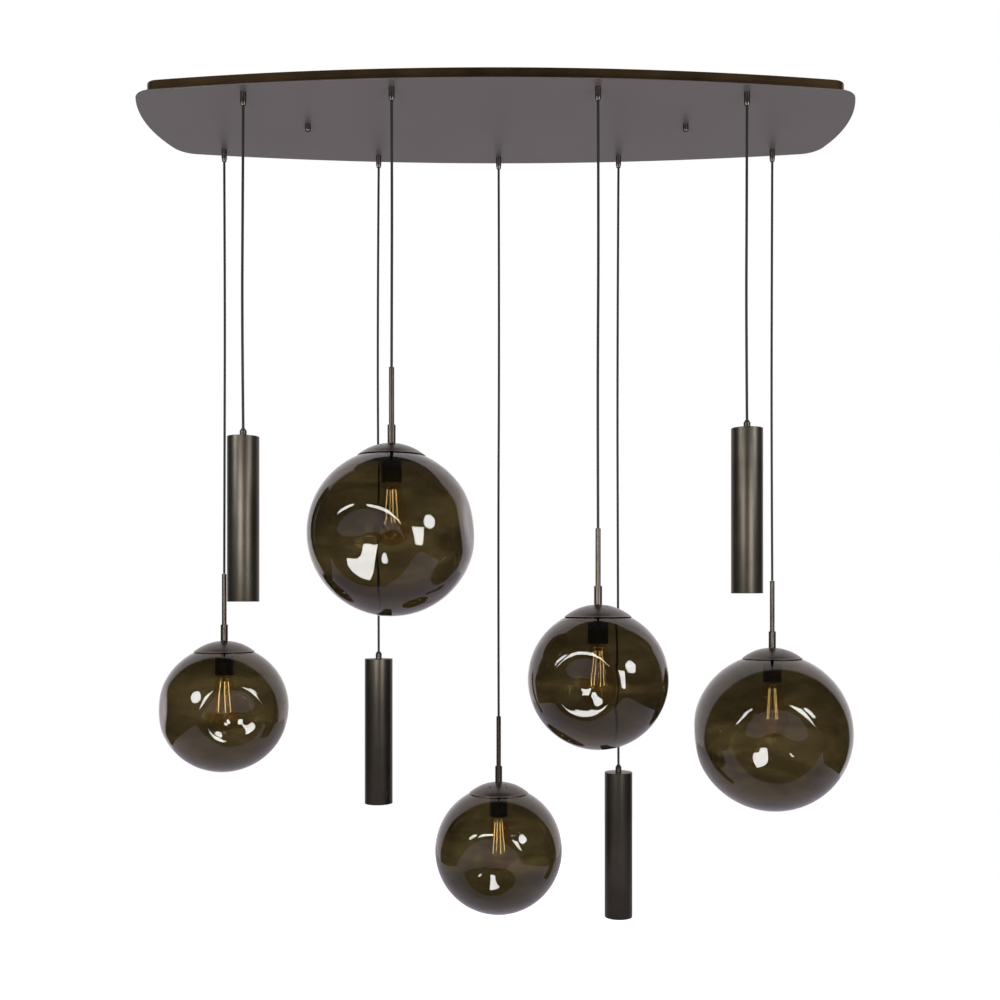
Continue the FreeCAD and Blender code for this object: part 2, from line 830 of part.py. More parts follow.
def dome_radius():
    """The outer radius of the cap's dome."""
    rim = cell("cap_diameter") / 2
    return (rim * rim + cell("cap_tall") * cell("cap_tall")) / (cell("cap_tall") * 2)


def under_cap(radius):
    """The height of the cap's inner surface at a radius, up from its rim."""
    dome = dome_radius()
    inner = dome - cell("cap_wall")
    return cell("cap_tall") - dome + root(inner * inner - radius * radius)


def screw_spots():
    """Where the three cap screws stand: (turn, x, y), from the globe's axis."""
    reach = cell("cap_screw_circle") / 2
    turns = [cell("cap_screw_turn") + 360 / CAP_SCREWS * n for n in range(CAP_SCREWS)]
    return [(turn, reach * cosine(turn), reach * sine(turn)) for turn in turns]


def cap(name):
    """The thin domed cap, its three sunk screws and the sprung plate that carries the glass."""
    dome = dome_radius()
    middle = cell("cap_tall") - dome
    hole = cell("nipple_diameter") / 2 + cell("fit_gap")
    rim = cell("cap_diameter") / 2
    profile = [(rim, 0), (hole, None), (hole, None), (cap_inner_rim(), 0)]
    body = turned(f"{name}_cap_dome", profile, {0: (middle, 1), 2: (middle, 1)})
    radius = cell("cap_screw_diameter") / 2
    drill(body, "screw_holes", [(x, y, radius + cell("fit_gap")) for turn, x, y in screw_spots()])
    place(body, across(name), depth(name), cap_level(name))
    circle = cell("cap_screw_circle") / 2
    head = middle + root(dome * dome - circle * circle) - cell("cap_screw_sunk")
    foot = hub_top() - cell("spring_thickness") * 2
    screws = []
    for number, (turn, x, y) in enumerate(screw_spots(), start=1):
        screws.append(cylinder(f"{name}_cap_screw_{number}", cell("cap_screw_diameter"),
                               head - foot, across(name) + x, depth(name) + y,
                               cap_level(name) + foot))
    return joined(f"{name}_cap", [body, glass_spring(name)] + screws)


def hub_top():
    """The top of the sprung plate's hub, up from the cap's rim: its shoulders meet the cap."""
    return under_cap(spring_shoulder()) - cell("seat_gap")


def spring_shoulder():
    """The radius where the sprung plate's arms turn down into the glass's mouth."""
    return cell("mouth_diameter") / 2 - cell("spring_mouth_gap")


def glass_spring(name):
    """The sprung plate: a hub and three arms that reach down and out under the glass."""
    thick = cell("spring_thickness")
    shoulder = spring_shoulder()
    tip = cell("spring_span") / 2
    radius = cell(f"{name}_radius") - cell("glass_wall")
    up = globe_middle(name) - cap_level(name)
    tip_top = up + root(radius * radius - tip * tip) - cell("seat_gap")
    hub = hub_top()
    hole = cell("holder_neck_diameter") / 2 + cell("seat_gap")
    profile = [(hole, hub - thick), (hole, hub), (shoulder, hub), (shoulder, tip_top)]
    profile += [(tip, tip_top), (tip, tip_top - thick), (shoulder - thick, tip_top - thick)]
    profile += [(shoulder - thick, hub - thick)]
    bell = turned(f"{name}_spring_bell", profile)
    screw_hole = cell("cap_screw_diameter") / 2 + cell("fit_gap")
    drill(bell, "screw_holes", [(x, y, screw_hole) for turn, x, y in screw_spots()])
    tall = cell("cap_tall") * 2
    keep = [cylinder(f"{name}_spring_hub", cell("spring_hub_diameter"), tall, 0, 0, -tall / 2)]
    for number, (turn, x, y) in enumerate(screw_spots(), start=1):
        arm = DOC.addObject("Part::Box", f"{name}_spring_arm_{number}")
        bind(arm, "Length", tip)
        bind(arm, "Width", cell("spring_arm_width"))
        bind(arm, "Height", tall)
        half = cell("spring_arm_width") / 2
        arm.Placement.Rotation = FreeCAD.Rotation(FreeCAD.Vector(0, 0, 1), turn.value)
        place(arm, half * sine(turn), -half * cosine(turn), -tall / 2)
        keep.append(arm)
    star = DOC.addObject("Part::MultiFuse", f"{name}_spring_star")
    star.Shapes = keep
    spring = DOC.addObject("Part::Common", f"{name}_spring")
    spring.Base = bell
    spring.Tool = star
    place(spring, across(name), depth(name), cap_level(name))
    return spring


def cap_inner_rim():
    """The radius of the cap's inner rim, where it sits on the glass."""
    dome = dome_radius()
    middle = cell("cap_tall") - dome
    inner = dome - cell("cap_wall")
    return root(inner * inner - middle * middle)


def globe_middle(name):
    """The height of a globe's centre: the cap's inner rim sits on the glass."""
    radius = cell(f"{name}_radius")
    rim = cap_inner_rim()
    return cap_level(name) - cell("seat_gap") - root(radius * radius - rim * rim)


def dent_tool(name, number, group, side, radius, wall):
    """The ball that presses one dent, pointing out of the globe, and where its rim lies."""
    rim = cell(f"{group}_{side}_dent_rim")
    deep = cell(f"{group}_{side}_dent_depth")
    ball = (deep * deep + rim * rim) / (deep * 2)
    reach = root(radius * radius - rim * rim) - deep + ball
    turn = cell(f"{name}_dent_{number}_turn")
    tilt = cell(f"{name}_dent_{number}_tilt")
    layer = "inner" if wall.value else "outer"
    tool = DOC.addObject("Part::Sphere", f"{name}_{layer}_dent_{number}")
    bind(tool, "Radius", ball + wall)
    out = FreeCAD.Vector(cosine(turn).value * cosine(tilt).value,
                         sine(turn).value * cosine(tilt).value, sine(tilt).value)
    tool.Placement.Rotation = FreeCAD.Rotation(FreeCAD.Vector(0, 0, 1), out)
    place(tool, reach * cosine(turn) * cosine(tilt), reach * sine(turn) * cosine(tilt),
          reach * sine(tilt))
    return tool


def seam_turn(name):
    """The turn halfway along the widest run of glass between two dents, clear of their rims."""
    turns = sorted(turn % 360 for turn, tilt in DENTS[name][1])
    gaps = [((later - turn) % 360, turn) for turn, later in zip(turns, turns[1:] + turns[:1])]
    gap, start = max(gaps)
    return start + gap / 2


def dented_ball(name, wall):
    """A ball with four dents whose rims are rounded, drawn in by the wall."""
    group = DENTS[name][0]
    radius = cell(f"{name}_radius")
    layer = "inner" if wall.value else "outer"
    ball = DOC.addObject("Part::Sphere", f"{name}_{layer}_ball")
    bind(ball, "Radius", radius - wall)
    ball.Placement.Rotation = FreeCAD.Rotation(FreeCAD.Vector(0, 0, 1), seam_turn(name))
    tools = [dent_tool(name, number, group, side, radius, wall)
             for number, side in enumerate(DENT_SIDES, start=1)]
    presses = DOC.addObject("Part::MultiFuse", f"{name}_{layer}_presses")
    presses.Shapes = tools
    pressed = cut(f"{name}_{layer}_pressed", ball, presses)
    DOC.recompute()
    rounded = DOC.addObject("Part::Fillet", f"{name}_{layer}_rounded")
    rounded.Base = pressed
    rounding = cell("rim_rounding").value - wall.value
    ball_sizes = [ball.Radius.Value] + [tool.Radius.Value for tool in tools]
    rims = [(n, rounding, rounding) for n, edge in enumerate(pressed.Shape.Edges, start=1)
            if is_rim(edge, ball_sizes)]
    rounded.Edges = rims
    return rounded


def is_rim(edge, ball_sizes):
    """True for a dent's rim, which is a circle smaller than the balls that meet in it."""
    if edge.Degenerated or not isinstance(edge.Curve, Part.Circle):
        return False
    return all(abs(edge.Curve.Radius - size) > 1e-3 for size in ball_sizes)


def glass(name):
    """The dented glass globe, an even wall with a round mouth at its top."""
    outer = dented_ball(name, as_size(0))
    inner = dented_ball(name, cell("glass_wall"))
    shell = cut(f"{name}_shell", outer, inner)
    mouth = cylinder(f"{name}_mouth", cell("mouth_diameter"), cell(f"{name}_radius") * 2)
    globe = cut(f"{name}_glass", shell, mouth)
    place(globe, across(name), depth(name), globe_middle(name))
    return globe


def lampholder(name):
    """The black lampholder: a nipple up into the collar, a neck under the cap and a socket."""
    nipple = cell("nipple_diameter") / 2
    neck = cell("holder_neck_diameter") / 2
    outer = cell("holder_diameter") / 2
    socket = cell("socket_diameter") / 2
    top = cell("cap_tall") + cell("nipple_in_collar") - cell("seat_gap")
    neck_top = under_cap(neck) - cell("seat_gap")
    body_top = -cell("holder_drop")
    foot = body_top - cell("holder_length")
    deep = foot + cell("socket_depth")
    profile = [(0, top), (nipple, top), (nipple, neck_top), (neck, neck_top), (neck, body_top)]
    profile += [(outer, body_top), (outer, foot), (socket, foot), (socket, deep), (0, deep)]
    body = turned(f"{name}_lampholder", profile)
    place(body, across(name), depth(name), cap_level(name))
    return body


def bulb(name):
    """The filament lamp: a base in the socket and a round bulb on a cone that touches it."""
    foot = -cell("holder_drop") - cell("holder_length")
    level = cap_level(name) + foot
    base_tall = cell("socket_depth") - cell("seat_gap")
    neck = cell("bulb_neck_diameter") / 2
    ball = cell("bulb_diameter") / 2
    middle = ball - cell("bulb_length")
    neck_foot = -cell("bulb_neck_length")
    up = neck_foot - middle
    far = neck * neck + up * up
    slant = root(far - ball * ball)
    touch_radius = (ball * ball * neck + ball * slant * up) / far
    touch_up = (ball * ball * up - ball * slant * neck) / far
    x, y = across(name), depth(name)
    base = cylinder(f"{name}_bulb_base", cell("bulb_base_diameter"), base_tall, x, y, level)
    collar_part = cylinder(f"{name}_bulb_neck", cell("bulb_neck_diameter"),
                           cell("bulb_neck_length") - cell("seat_gap"), x, y, level + neck_foot)
    cone = DOC.addObject("Part::Cone", f"{name}_bulb_cone")
    bind(cone, "Radius1", touch_radius)
    bind(cone, "Radius2", neck)
    bind(cone, "Height", up - touch_up)
    place(cone, x, y, level + middle + touch_up)
    round_end = DOC.addObject("Part::Sphere", f"{name}_bulb_round")
    bind(round_end, "Radius", ball)
    place(round_end, x, y, level + middle)
    link = cylinder(f"{name}_bulb_link", cell("bulb_base_diameter"), cell("bulb_neck_length"),
                    x, y, level + neck_foot)
    lamp = DOC.addObject("Part::MultiFuse", f"{name}_bulb")
    lamp.Shapes = [base, link, collar_part, cone, round_end]
    lamp.Label = f"{name}_bulb"
    return lamp


def tube_level(name):
    """The height of a tube's top face."""
    return cord_foot(name) - cell("hang_gap") - cell("tube_grip_length")


def tube_grip(name):
    """The grip on top of a tube, its side screw and the nut inside the tube."""
    bore = cell("cord_bore") / 2
    outer = cell("tube_grip_diameter") / 2
    neck = cell("tube_grip_neck_diameter") / 2
    thread = cell("thread_diameter") / 2
    top = cell("tube_grip_length")
    body_top = cell("tube_grip_body")
    foot = -cell("tube_thread_below")
    shoulder = body_top + (outer - neck)
    profile = [(bore, foot), (thread, foot), (thread, 0), (outer, 0), (outer, body_top)]
    profile += [(neck, shoulder), (neck, top), (bore, top)]
    body = turned(f"{name}_grip_body", profile)
    x, y, level = across(name), depth(name), tube_level(name)
    place(body, x, y, level)
    pieces = with_side_screw(f"{name}_grip", body, (x, y, level + body_top / 2),
                             cell("tube_grip_diameter"), cell("cord_bore"), -1)
    nut = ring(f"{name}_grip_nut", thread + cell("fit_gap"), cell("nut_diameter") / 2,
               cell("nut_thickness"))
    place(nut, x, y, level - cell("tube_top_thickness") - cell("nut_thickness"))
    return joined(f"{name}_grip", pieces + [nut])


def housing(name):
    """The tube itself: a thin wall, closed on top but for the grip's hole, open below."""
    outer = cell("tube_diameter") / 2
    inner = outer - cell("tube_wall")
    hole = cell("thread_diameter") / 2 + cell("fit_gap")
    foot = -cell("tube_length")
    under = -cell("tube_top_thickness")
    profile = [(hole, 0), (outer, 0), (outer, foot), (inner, foot), (inner, under), (hole, under)]
    body = turned(f"{name}_housing", profile)
    place(body, across(name), depth(name), tube_level(name))
    return body


def tube_lamp(name):
    """What the tube holds: a lead, a carrier disc, a lampholder and a reflector lamp."""
    x, y, level = across(name), depth(name), tube_level(name)
    face = level - cell("tube_length") + cell("lamp_recess")
    lamp_top = face + cell("lamp_length")
    holder_top = lamp_top + cell("lamp_holder_length")
    carrier_top = holder_top + cell("carrier_thickness")
    rim = cell("lamp_diameter") / 2
    back = cell("lamp_back_diameter") / 2
    tall = cell("lamp_length")
    profile = [(0, 0), (rim, 0), (rim, cell("lamp_rim")), (back, tall), (0, tall)]
    lamp = turned(f"{name}_reflector", profile)
    place(lamp, x, y, face)
    holder = cylinder(f"{name}_holder", cell("lamp_holder_diameter"), cell("lamp_holder_length"),
                      x, y, lamp_top)
    carrier_diameter = cell("tube_diameter") - (cell("tube_wall") + cell("seat_gap")) * 2
    carrier = cylinder(f"{name}_carrier", carrier_diameter, cell("carrier_thickness"),
                       x, y, holder_top)
    lead = cylinder(f"{name}_tube_lead", cell("cord_diameter"),
                    level + cell("tube_grip_length") - carrier_top, x, y, carrier_top)
    return joined(f"{name}_lamp", [lead, carrier, holder, lamp])


def check_document():
    """Stop if any object failed."""
    DOC.recompute()
    for item in DOC.Objects:
        if "Invalid" in item.State or "Error" in item.State:
            raise RuntimeError(f"{item.Label} failed: {item.State}")


def write_node(node):
    """Check one node's shape and write its file."""
    shape = node.Shape
    if shape.isNull() or not shape.isValid() or not shape.Solids:
        raise RuntimeError(f"{node.Label} has no valid solid")
    shape.exportStep(os.path.join("parts", f"{node.Label}.step"))
    print(f"{node.Label}: {len(shape.Solids)} solids, {shape.Volume:.0f} cubic mm")


def build():
    """Make every node and write the files."""
    fill_sheet()
    nodes = [canopy_plate(), canopy_frame(), ceiling_bracket(), bracket_studs(), cap_nuts()]
    nodes += [cord_grips(), grip_nuts(), terminal_blocks(), canopy_leads()]
    for name in PLACES:
        nodes.append(free_cord(name))
        if is_tube(name):
            nodes += [tube_grip(name), housing(name), tube_lamp(name)]
        else:
            nodes += [stem(name), collar(name), cap(name), glass(name), lampholder(name),
                      bulb(name)]
    check_document()
    os.makedirs("parts", exist_ok=True)
    for node in nodes:
        write_node(node)
    print(f"{len(nodes)} nodes")


build()
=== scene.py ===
"""Cluster pendant: a long bowed canopy with five dented smoked-glass globes and four tubes.

Lengths are metres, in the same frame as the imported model: the origin is the middle of the
ceiling bracket's top face, +Z is up and -Y is the front.
"""
import json
import math

import bpy
from mathutils import Matrix, Vector


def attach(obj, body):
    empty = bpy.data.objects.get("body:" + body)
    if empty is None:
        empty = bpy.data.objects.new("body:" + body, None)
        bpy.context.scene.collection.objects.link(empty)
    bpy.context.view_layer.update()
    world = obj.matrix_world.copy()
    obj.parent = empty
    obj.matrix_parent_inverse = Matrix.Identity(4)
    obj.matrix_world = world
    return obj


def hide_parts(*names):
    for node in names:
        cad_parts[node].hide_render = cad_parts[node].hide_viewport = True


MM = 0.001

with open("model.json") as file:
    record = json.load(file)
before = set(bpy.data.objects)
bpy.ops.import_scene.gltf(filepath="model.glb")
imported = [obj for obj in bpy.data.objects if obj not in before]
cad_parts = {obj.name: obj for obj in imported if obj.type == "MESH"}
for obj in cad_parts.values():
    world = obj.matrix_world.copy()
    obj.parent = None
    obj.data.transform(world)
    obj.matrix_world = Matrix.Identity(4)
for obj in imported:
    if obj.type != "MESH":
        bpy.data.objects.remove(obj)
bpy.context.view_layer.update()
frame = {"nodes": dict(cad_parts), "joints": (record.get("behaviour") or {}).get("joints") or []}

GLOBES = ("front_large_globe", "front_small_globe", "back_left_globe", "back_middle_globe",
          "back_right_globe")
TUBES = ("front_left_tube", "front_right_tube", "back_left_tube", "back_right_tube")

# Camera: level, 2.18 m in front of the canopy's centre line, with the frame shifted upwards.
CAMERA_SPOT = (0.05, -2.18, -0.9446)
CAMERA_LENS = 40.72
CAMERA_SHIFT = (-0.0228, 0.1)
# Where every light points, and the umbrellas' cool white.
LIGHT_AIM = (0, 0, -1.0)
UMBRELLA_WHITE = (0.95, 0.96, 1)
# The floor's level, and the glow that only the camera sees on it.
FLOOR_LEVEL = -2.35
FLOOR_LIFT = 0.62

# Cords: their diameter, and how far each one bows to +X and +Y at a third and at two thirds of
# its drop, in millimetres.
CORD_DIAMETER = 4.8 * MM
CORD_BOWS = {
    "front_left_tube": ((-1.2, 0.6), (-2.0, -0.7)),
    "front_large_globe": ((0.8, -0.5), (0.3, 0.8)),
    "front_small_globe": ((1.0, 0.8), (-0.9, 0.5)),
    "front_right_tube": ((-0.7, -0.8), (-1.4, 0.5)),
    "back_left_globe": ((1.3, 0.6), (0.9, -0.8)),
    "back_left_tube": ((-2.6, 0.9), (-0.6, -0.9)),
    "back_middle_globe": ((1.2, -0.7), (-1.0, 0.8)),
    "back_right_tube": ((-2.4, 0.9), (-1.2, -0.7)),
    "back_right_globe": ((-0.9, 0.8), (-1.7, -0.6)),
}

# Glass: wall, cuts along each edge of the cube that becomes the ball, radius, and four dents each
# as turn about the stem from +X and tilt above the middle, in degrees. The first dent is the deep
# funnel at the front. Two radii are 0.6 and 0.1 mm under the solid's, because the soft rims of the
# dents stand out further.
GLASS_WALL = 3.0 * MM
GLOBE_CUTS = 71
GLOBE_RADIUS = {
    "front_large_globe": 149.4 * MM,
    "front_small_globe": 125.5 * MM,
    "back_left_globe": 128.9 * MM,
    "back_middle_globe": 131 * MM,
    "back_right_globe": 160 * MM,
}
DENTS = {
    "front_large_globe": ((-102.7, -17.7), (-10, 6), (155, -10), (84, -18)),
    "front_small_globe": ((-106.5, -3.4), (20, -10), (148, -6), (83, -20)),
    "back_left_globe": ((-67.2, -3.7), (30, -10), (-150, 2), (95, -12)),
    "back_middle_globe": ((-96.1, -5.9), (20, 2), (158, 2), (88, -8)),
    "back_right_globe": ((-99.0, -7.3), (5, 4), (160, -6), (90, -15)),
}
# A dent's reach across the glass in degrees, and its depth as a share of the globe's radius.
FRONT_DENTS = {
    "front_large_globe": (35.2, 0.262),
    "front_small_globe": (32.8, 0.237),
    "back_left_globe": (32.4, 0.256),
    "back_middle_globe": (33.3, 0.258),
    "back_right_globe": (37.4, 0.241),
}
SIDE_DENT = (26.0, 0.10)
# The dents that lie on a globe's outline in the photograph are shallower.
OUTLINE_DENTS = {"front_large_globe": 1, "back_left_globe": 2}
OUTLINE_DEPTH = 0.05
# How far a funnel's tip lies to the right of its rim's middle and above it, in degrees.
TIP_SHIFTS = {
    "front_large_globe": (3.7, 7.4),
    "front_small_globe": (0.1, 1.0),
    "back_left_globe": (0.6, -0.6),
    "back_middle_globe": (-1.0, -0.4),
    "back_right_globe": (-0.5, 4.8),
}
# A funnel's slope grows up to the first share of its reach and eases off past the second, by a
# power.
FUNNEL_TIP = 0.398
FUNNEL_RIM = 0.517
FUNNEL_EASE = 1.133
MOUTH_RADIUS = 42 * MM

# Canopy: a plate with two long bows, two end bows and four round corners, and the wall on it.
PLATE_LENGTH = 1350 * MM
PLATE_WIDTH = 390 * MM
PLATE_THICKNESS = 2 * MM
PLATE_UNDERSIDE = -28 * MM
SIDE_RADIUS = 3970 * MM
END_RADIUS = 380 * MM
CORNER_RADIUS = 48 * MM
FRAME_INSET = 20 * MM
FRAME_WALL = 2 * MM
STUD_X = 364 * MM
STUD_HOLE_RADIUS = 3.3 * MM
THREAD_RADIUS = 4.8 * MM
FIT_GAP = 0.1 * MM
HANG_GAP = 0.3 * MM

# Caps, in millimetres and radians: the sphere of the dome, its height and wall, then the circle,
# turns and holes of the screws and the vents, and how deep the screws are sunk.
CAP_DOME = 94.2
CAP_TALL = 22
CAP_WALL = 1.5
SCREW_CIRCLE = 23
SCREW_TURNS = [math.radians(188 + 120 * number) for number in range(3)]
SCREW_HOLE = 1.85
SCREW_SUNK = 0.9
VENT_CIRCLE = 33.5
VENT_TURNS = [math.radians(60 * number) for number in range(6)]
VENT_HOLE = 2.3

# Below a stem's top: the cap's rim with its inner radius, the lampholder's foot, and the sprung
# plate's hub, arms, width and sheet. Then the side screws' radius and the tubes' lengths.
CAP_INNER_RIM = 58.15 * MM
CAP_RIM_DROP = 158 * MM
SEAT_GAP = 0.3 * MM
HOLDER_FOOT = 48 * MM
SPRING_HUB = 12.05 * MM
SPRING_SHOULDER = 38 * MM
SPRING_TIP = 50 * MM
SPRING_WIDTH = 14 * MM
SPRING_SHEET = 1 * MM
GRUB_RADIUS = 1.5 * MM
TUBE_GRIP_LENGTH = 15 * MM
TUBE_LENGTH = 298 * MM
LAMP_RECESS = 26 * MM

# Where each pendant's cord starts under the canopy, and where it ends above the stem or tube.
SWING = {joint["name"][:-6]: Vector(joint["pos_m"]) for joint in frame["joints"]
         if joint["name"].endswith("_swing")}
TILT = {joint["name"][:-5]: Vector(joint["pos_m"]) for joint in frame["joints"]
        if joint["name"].endswith("_tilt")}
GLOBE_MIDDLE = {name: TILT[name].z - HANG_GAP - CAP_RIM_DROP - SEAT_GAP
                - math.sqrt(GLOBE_RADIUS[name] ** 2 - CAP_INNER_RIM ** 2) for name in GLOBES}


def settle(piece, name):
    """Name a new primitive and apply its place to its mesh."""
    piece.name = name
    piece.data.name = name
    bpy.ops.object.transform_apply(location=True, rotation=True, scale=True)
    return piece


def deselect():
    """Leave edit mode and select nothing."""
    if bpy.context.object and bpy.context.object.mode != "OBJECT":
        bpy.ops.object.mode_set(mode="OBJECT")
    bpy.ops.object.select_all(action="DESELECT")


def only(piece):
    """Select one object and make it the active one."""
    deselect()
    piece.select_set(True)
    bpy.context.view_layer.objects.active = piece
    return piece


def apply_all(piece):
    """Apply every modifier of a piece."""
    only(piece)
    for modifier in list(piece.modifiers):
        bpy.ops.object.modifier_apply(modifier=modifier.name)
    return piece


def smooth(piece, angle):
    """Smooth shading that keeps the sharp edges."""
    only(piece)
    bpy.ops.object.shade_smooth_by_angle(angle=math.radians(angle))
    return piece


def edit_all():
    """Open the active mesh with everything in it selected."""
    bpy.ops.object.mode_set(mode="EDIT")
    bpy.ops.mesh.select_all(action="SELECT")


def face_outwards():
    """Turn every face outwards and leave edit mode."""
    bpy.ops.mesh.select_all(action="SELECT")
    bpy.ops.mesh.normals_make_consistent(inside=False)
    bpy.ops.object.mode_set(mode="OBJECT")


def turned(name, rings, sides=48, closed=True):
    """A round piece about Z, extruded ring by ring. Rings are (radius, height) in millimetres.

    A closed piece ends where it began, like a tube. An open one is filled at both ends.
    """
    deselect()
    rings = [(radius * MM, height * MM) for radius, height in rings]
    radius, height = rings[0]
    bpy.ops.mesh.primitive_circle_add(vertices=sides, radius=radius, location=(0, 0, height),
                                      fill_type="NOTHING" if closed else "NGON")
    piece = settle(bpy.context.object, name)
    edit_all()
    for next_radius, next_height in rings[1:] + (rings[:1] if closed else []):
        bpy.ops.mesh.extrude_region_move(
            TRANSFORM_OT_translate={"value": (0, 0, next_height - height)})
        share = next_radius / radius
        bpy.ops.transform.resize(value=(share, share, 1), center_override=(0, 0, next_height))
        radius, height = next_radius, next_height
    bpy.ops.mesh.select_all(action="SELECT")
    bpy.ops.mesh.remove_doubles(threshold=1e-6)
    face_outwards()
    return piece


def cylinder(sides, radius, depth, spot, lean=0.0):
    """A new cylinder, in metres, that stands on end or leans from Z towards X."""
    deselect()
    bpy.ops.mesh.primitive_cylinder_add(vertices=sides, radius=radius, depth=depth,
                                        location=spot, rotation=(0, lean, 0))
    return bpy.context.object


def round_spot(reach, turn, height=0.0):
    """A place, from its reach from Z, its turn about Z and its height. Both lengths are in mm."""
    return Vector((reach * math.cos(turn), reach * math.sin(turn), height)) * MM


def give_wall(piece, thickness, even=False):
    """Give a skin its wall, inwards."""
    wall = piece.modifiers.new("wall", "SOLIDIFY")
    wall.thickness = thickness
    wall.offset = -1
    wall.use_even_offset = even
    return apply_all(piece)


def bevelled(piece, width, segments=2):
    """Round a piece's sharp edges."""
    bevel = piece.modifiers.new("edges", "BEVEL")
    bevel.width = width
    bevel.segments = segments
    bevel.limit_method = "ANGLE"
    bevel.angle_limit = math.radians(40)
    return apply_all(piece)


def copy_to(source, name, spot, turn=0.0):
    """A copy of a piece with its own mesh, turned about Z and moved in its mesh."""
    piece = source.copy()
    piece.data = source.data.copy()
    piece.name = name
    piece.data.name = name
    bpy.context.scene.collection.objects.link(piece)
    piece.data.transform(Matrix.Translation(spot) @ Matrix.Rotation(turn, 4, "Z"))
    return piece


def join(name, pieces):
    """Several meshes as one object."""
    deselect()
    for piece in pieces:
        piece.select_set(True)
    bpy.context.view_layer.objects.active = pieces[0]
    bpy.ops.object.join()
    pieces[0].name = name
    pieces[0].data.name = name
    return pieces[0]


def cut_with(piece, tool):
    """Cut a tool out of a piece and delete the tool."""
    cutter = piece.modifiers.new("cut", "BOOLEAN")
    cutter.operation = "DIFFERENCE"
    cutter.solver = "EXACT"
    cutter.object = tool
    apply_all(piece)
    bpy.data.objects.remove(tool)
    return piece


def dress(piece, material, body, slot, *nodes):
    """Give a piece its material and body, and hide its CAD nodes. The slot is not used."""
    piece.data.materials.clear()
    piece.data.materials.append(material)
    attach(piece, body)
    if nodes:
        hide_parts(*nodes)
    return piece


def hang(name, rows):
    """Copy shared models to a pendant. A row is model, piece, spot, material, slot and CAD node."""
    for model, piece, spot, material, slot, node in rows:
        copy = copy_to(model, f"{name}_{piece}", spot)
        dress(copy, material, f"{name}_shade", slot, f"{name}_{node}")


def throw_away(*models):
    """Delete the models that copies were made from."""
    for model in models:
        bpy.data.objects.remove(model)


# Materials

def feed(tree, socket, value):
    """Set a socket to a plain value, or link it to the output given as its value."""
    if isinstance(value, bpy.types.NodeSocket):
        tree.links.new(value, socket)
    else:
        socket.default_value = value


def add(tree, kind, **values):
    """A node with its properties and inputs set. Input names use _ for a space."""
    node = tree.nodes.new(kind)
    for key, value in values.items():
        if hasattr(node, key):
            setattr(node, key, value)
        else:
            feed(tree, node.inputs[key.replace("_", " ")], value)
    return node


def noise(tree, vector, scale, detail, roughness, distortion=0.0):
    """The mask of a noise texture."""
    return add(tree, "ShaderNodeTexNoise", Vector=vector, Scale=scale, Detail=detail,
               Roughness=roughness, Distortion=distortion).outputs["Fac"]


def maths(tree, operation, *values):
    """The result of a maths node on numbers and outputs."""
    node = add(tree, "ShaderNodeMath", operation=operation)
    for socket, value in zip(node.inputs, values):
        feed(tree, socket, value)
    return node.outputs["Value"]


def spread(tree, value, low, high, **values):
    """A value's place between low and high, from 0 to 1."""
    return add(tree, "ShaderNodeMapRange", Value=value, From_Min=low, From_Max=high,
               **values).outputs["Result"]


def mix(tree, factor, first, second):
    """A mix of two colours."""
    return add(tree, "ShaderNodeMix", data_type="RGBA", Factor=factor, A=first,
               B=second).outputs["Result"]


def bump(tree, strength, height, distance):
    """A normal from a height."""
    return add(tree, "ShaderNodeBump", Strength=strength, Height=height,
               Distance=distance).outputs["Normal"]


def new_group(name, inputs):
    """A shader group with named inputs (name, type, value): its tree, inputs and coordinates."""
    group = bpy.data.node_groups.new(name, "ShaderNodeTree")
    for label, kind, value in inputs:
        socket = group.interface.new_socket(label, in_out="INPUT", socket_type=kind)
        socket.default_value = value
    inside = add(group, "NodeGroupInput").outputs
    return group, inside, add(group, "ShaderNodeTexCoord").outputs["Object"]


def close_group(group, colour, roughness, normal):
    """Give a group its outputs."""
    outputs = (("Color", "NodeSocketColor", colour), ("Roughness", "NodeSocketFloat", roughness),
               ("Normal", "NodeSocketVector", normal))
    for label, kind, value in outputs:
        group.interface.new_socket(label, in_out="OUTPUT", socket_type=kind)
    outside = add(group, "NodeGroupOutput")
    for label, kind, value in outputs:
        feed(group, outside.inputs[label], value)
    return group


def brushed_group():
    """Fine brush lines along one direction, with slow changes of tone from piece to piece."""
    group, inside, spot = new_group(
        "Brushed metal",
        [("Light", "NodeSocketColor", (0.3, 0.26, 0.22, 1)),
         ("Dark", "NodeSocketColor", (0.15, 0.12, 0.1, 1)),
         ("Stretch", "NodeSocketVector", (1.0, 1.0, 0.02)),
         ("Roughness", "NodeSocketFloat", 0.35),
         ("Depth", "NodeSocketFloat", 0.1)])
    stretch = add(group, "ShaderNodeVectorMath", operation="MULTIPLY", Vector=spot)
    feed(group, stretch.inputs[1], inside["Stretch"])
    lines = noise(group, stretch.outputs["Vector"], scale=2600.0, detail=3.0, roughness=0.6)
    patches = noise(group, spot, scale=9.0, detail=3.0, roughness=0.5)
    tone = spread(group, maths(group, "MULTIPLY_ADD", lines, 0.5, patches), low=0.45, high=1.05)
    return close_group(group, mix(group, tone, inside["Dark"], inside["Light"]),
                       maths(group, "MULTIPLY_ADD", lines, 0.14, inside["Roughness"]),
                       bump(group, inside["Depth"], lines, distance=0.0002))


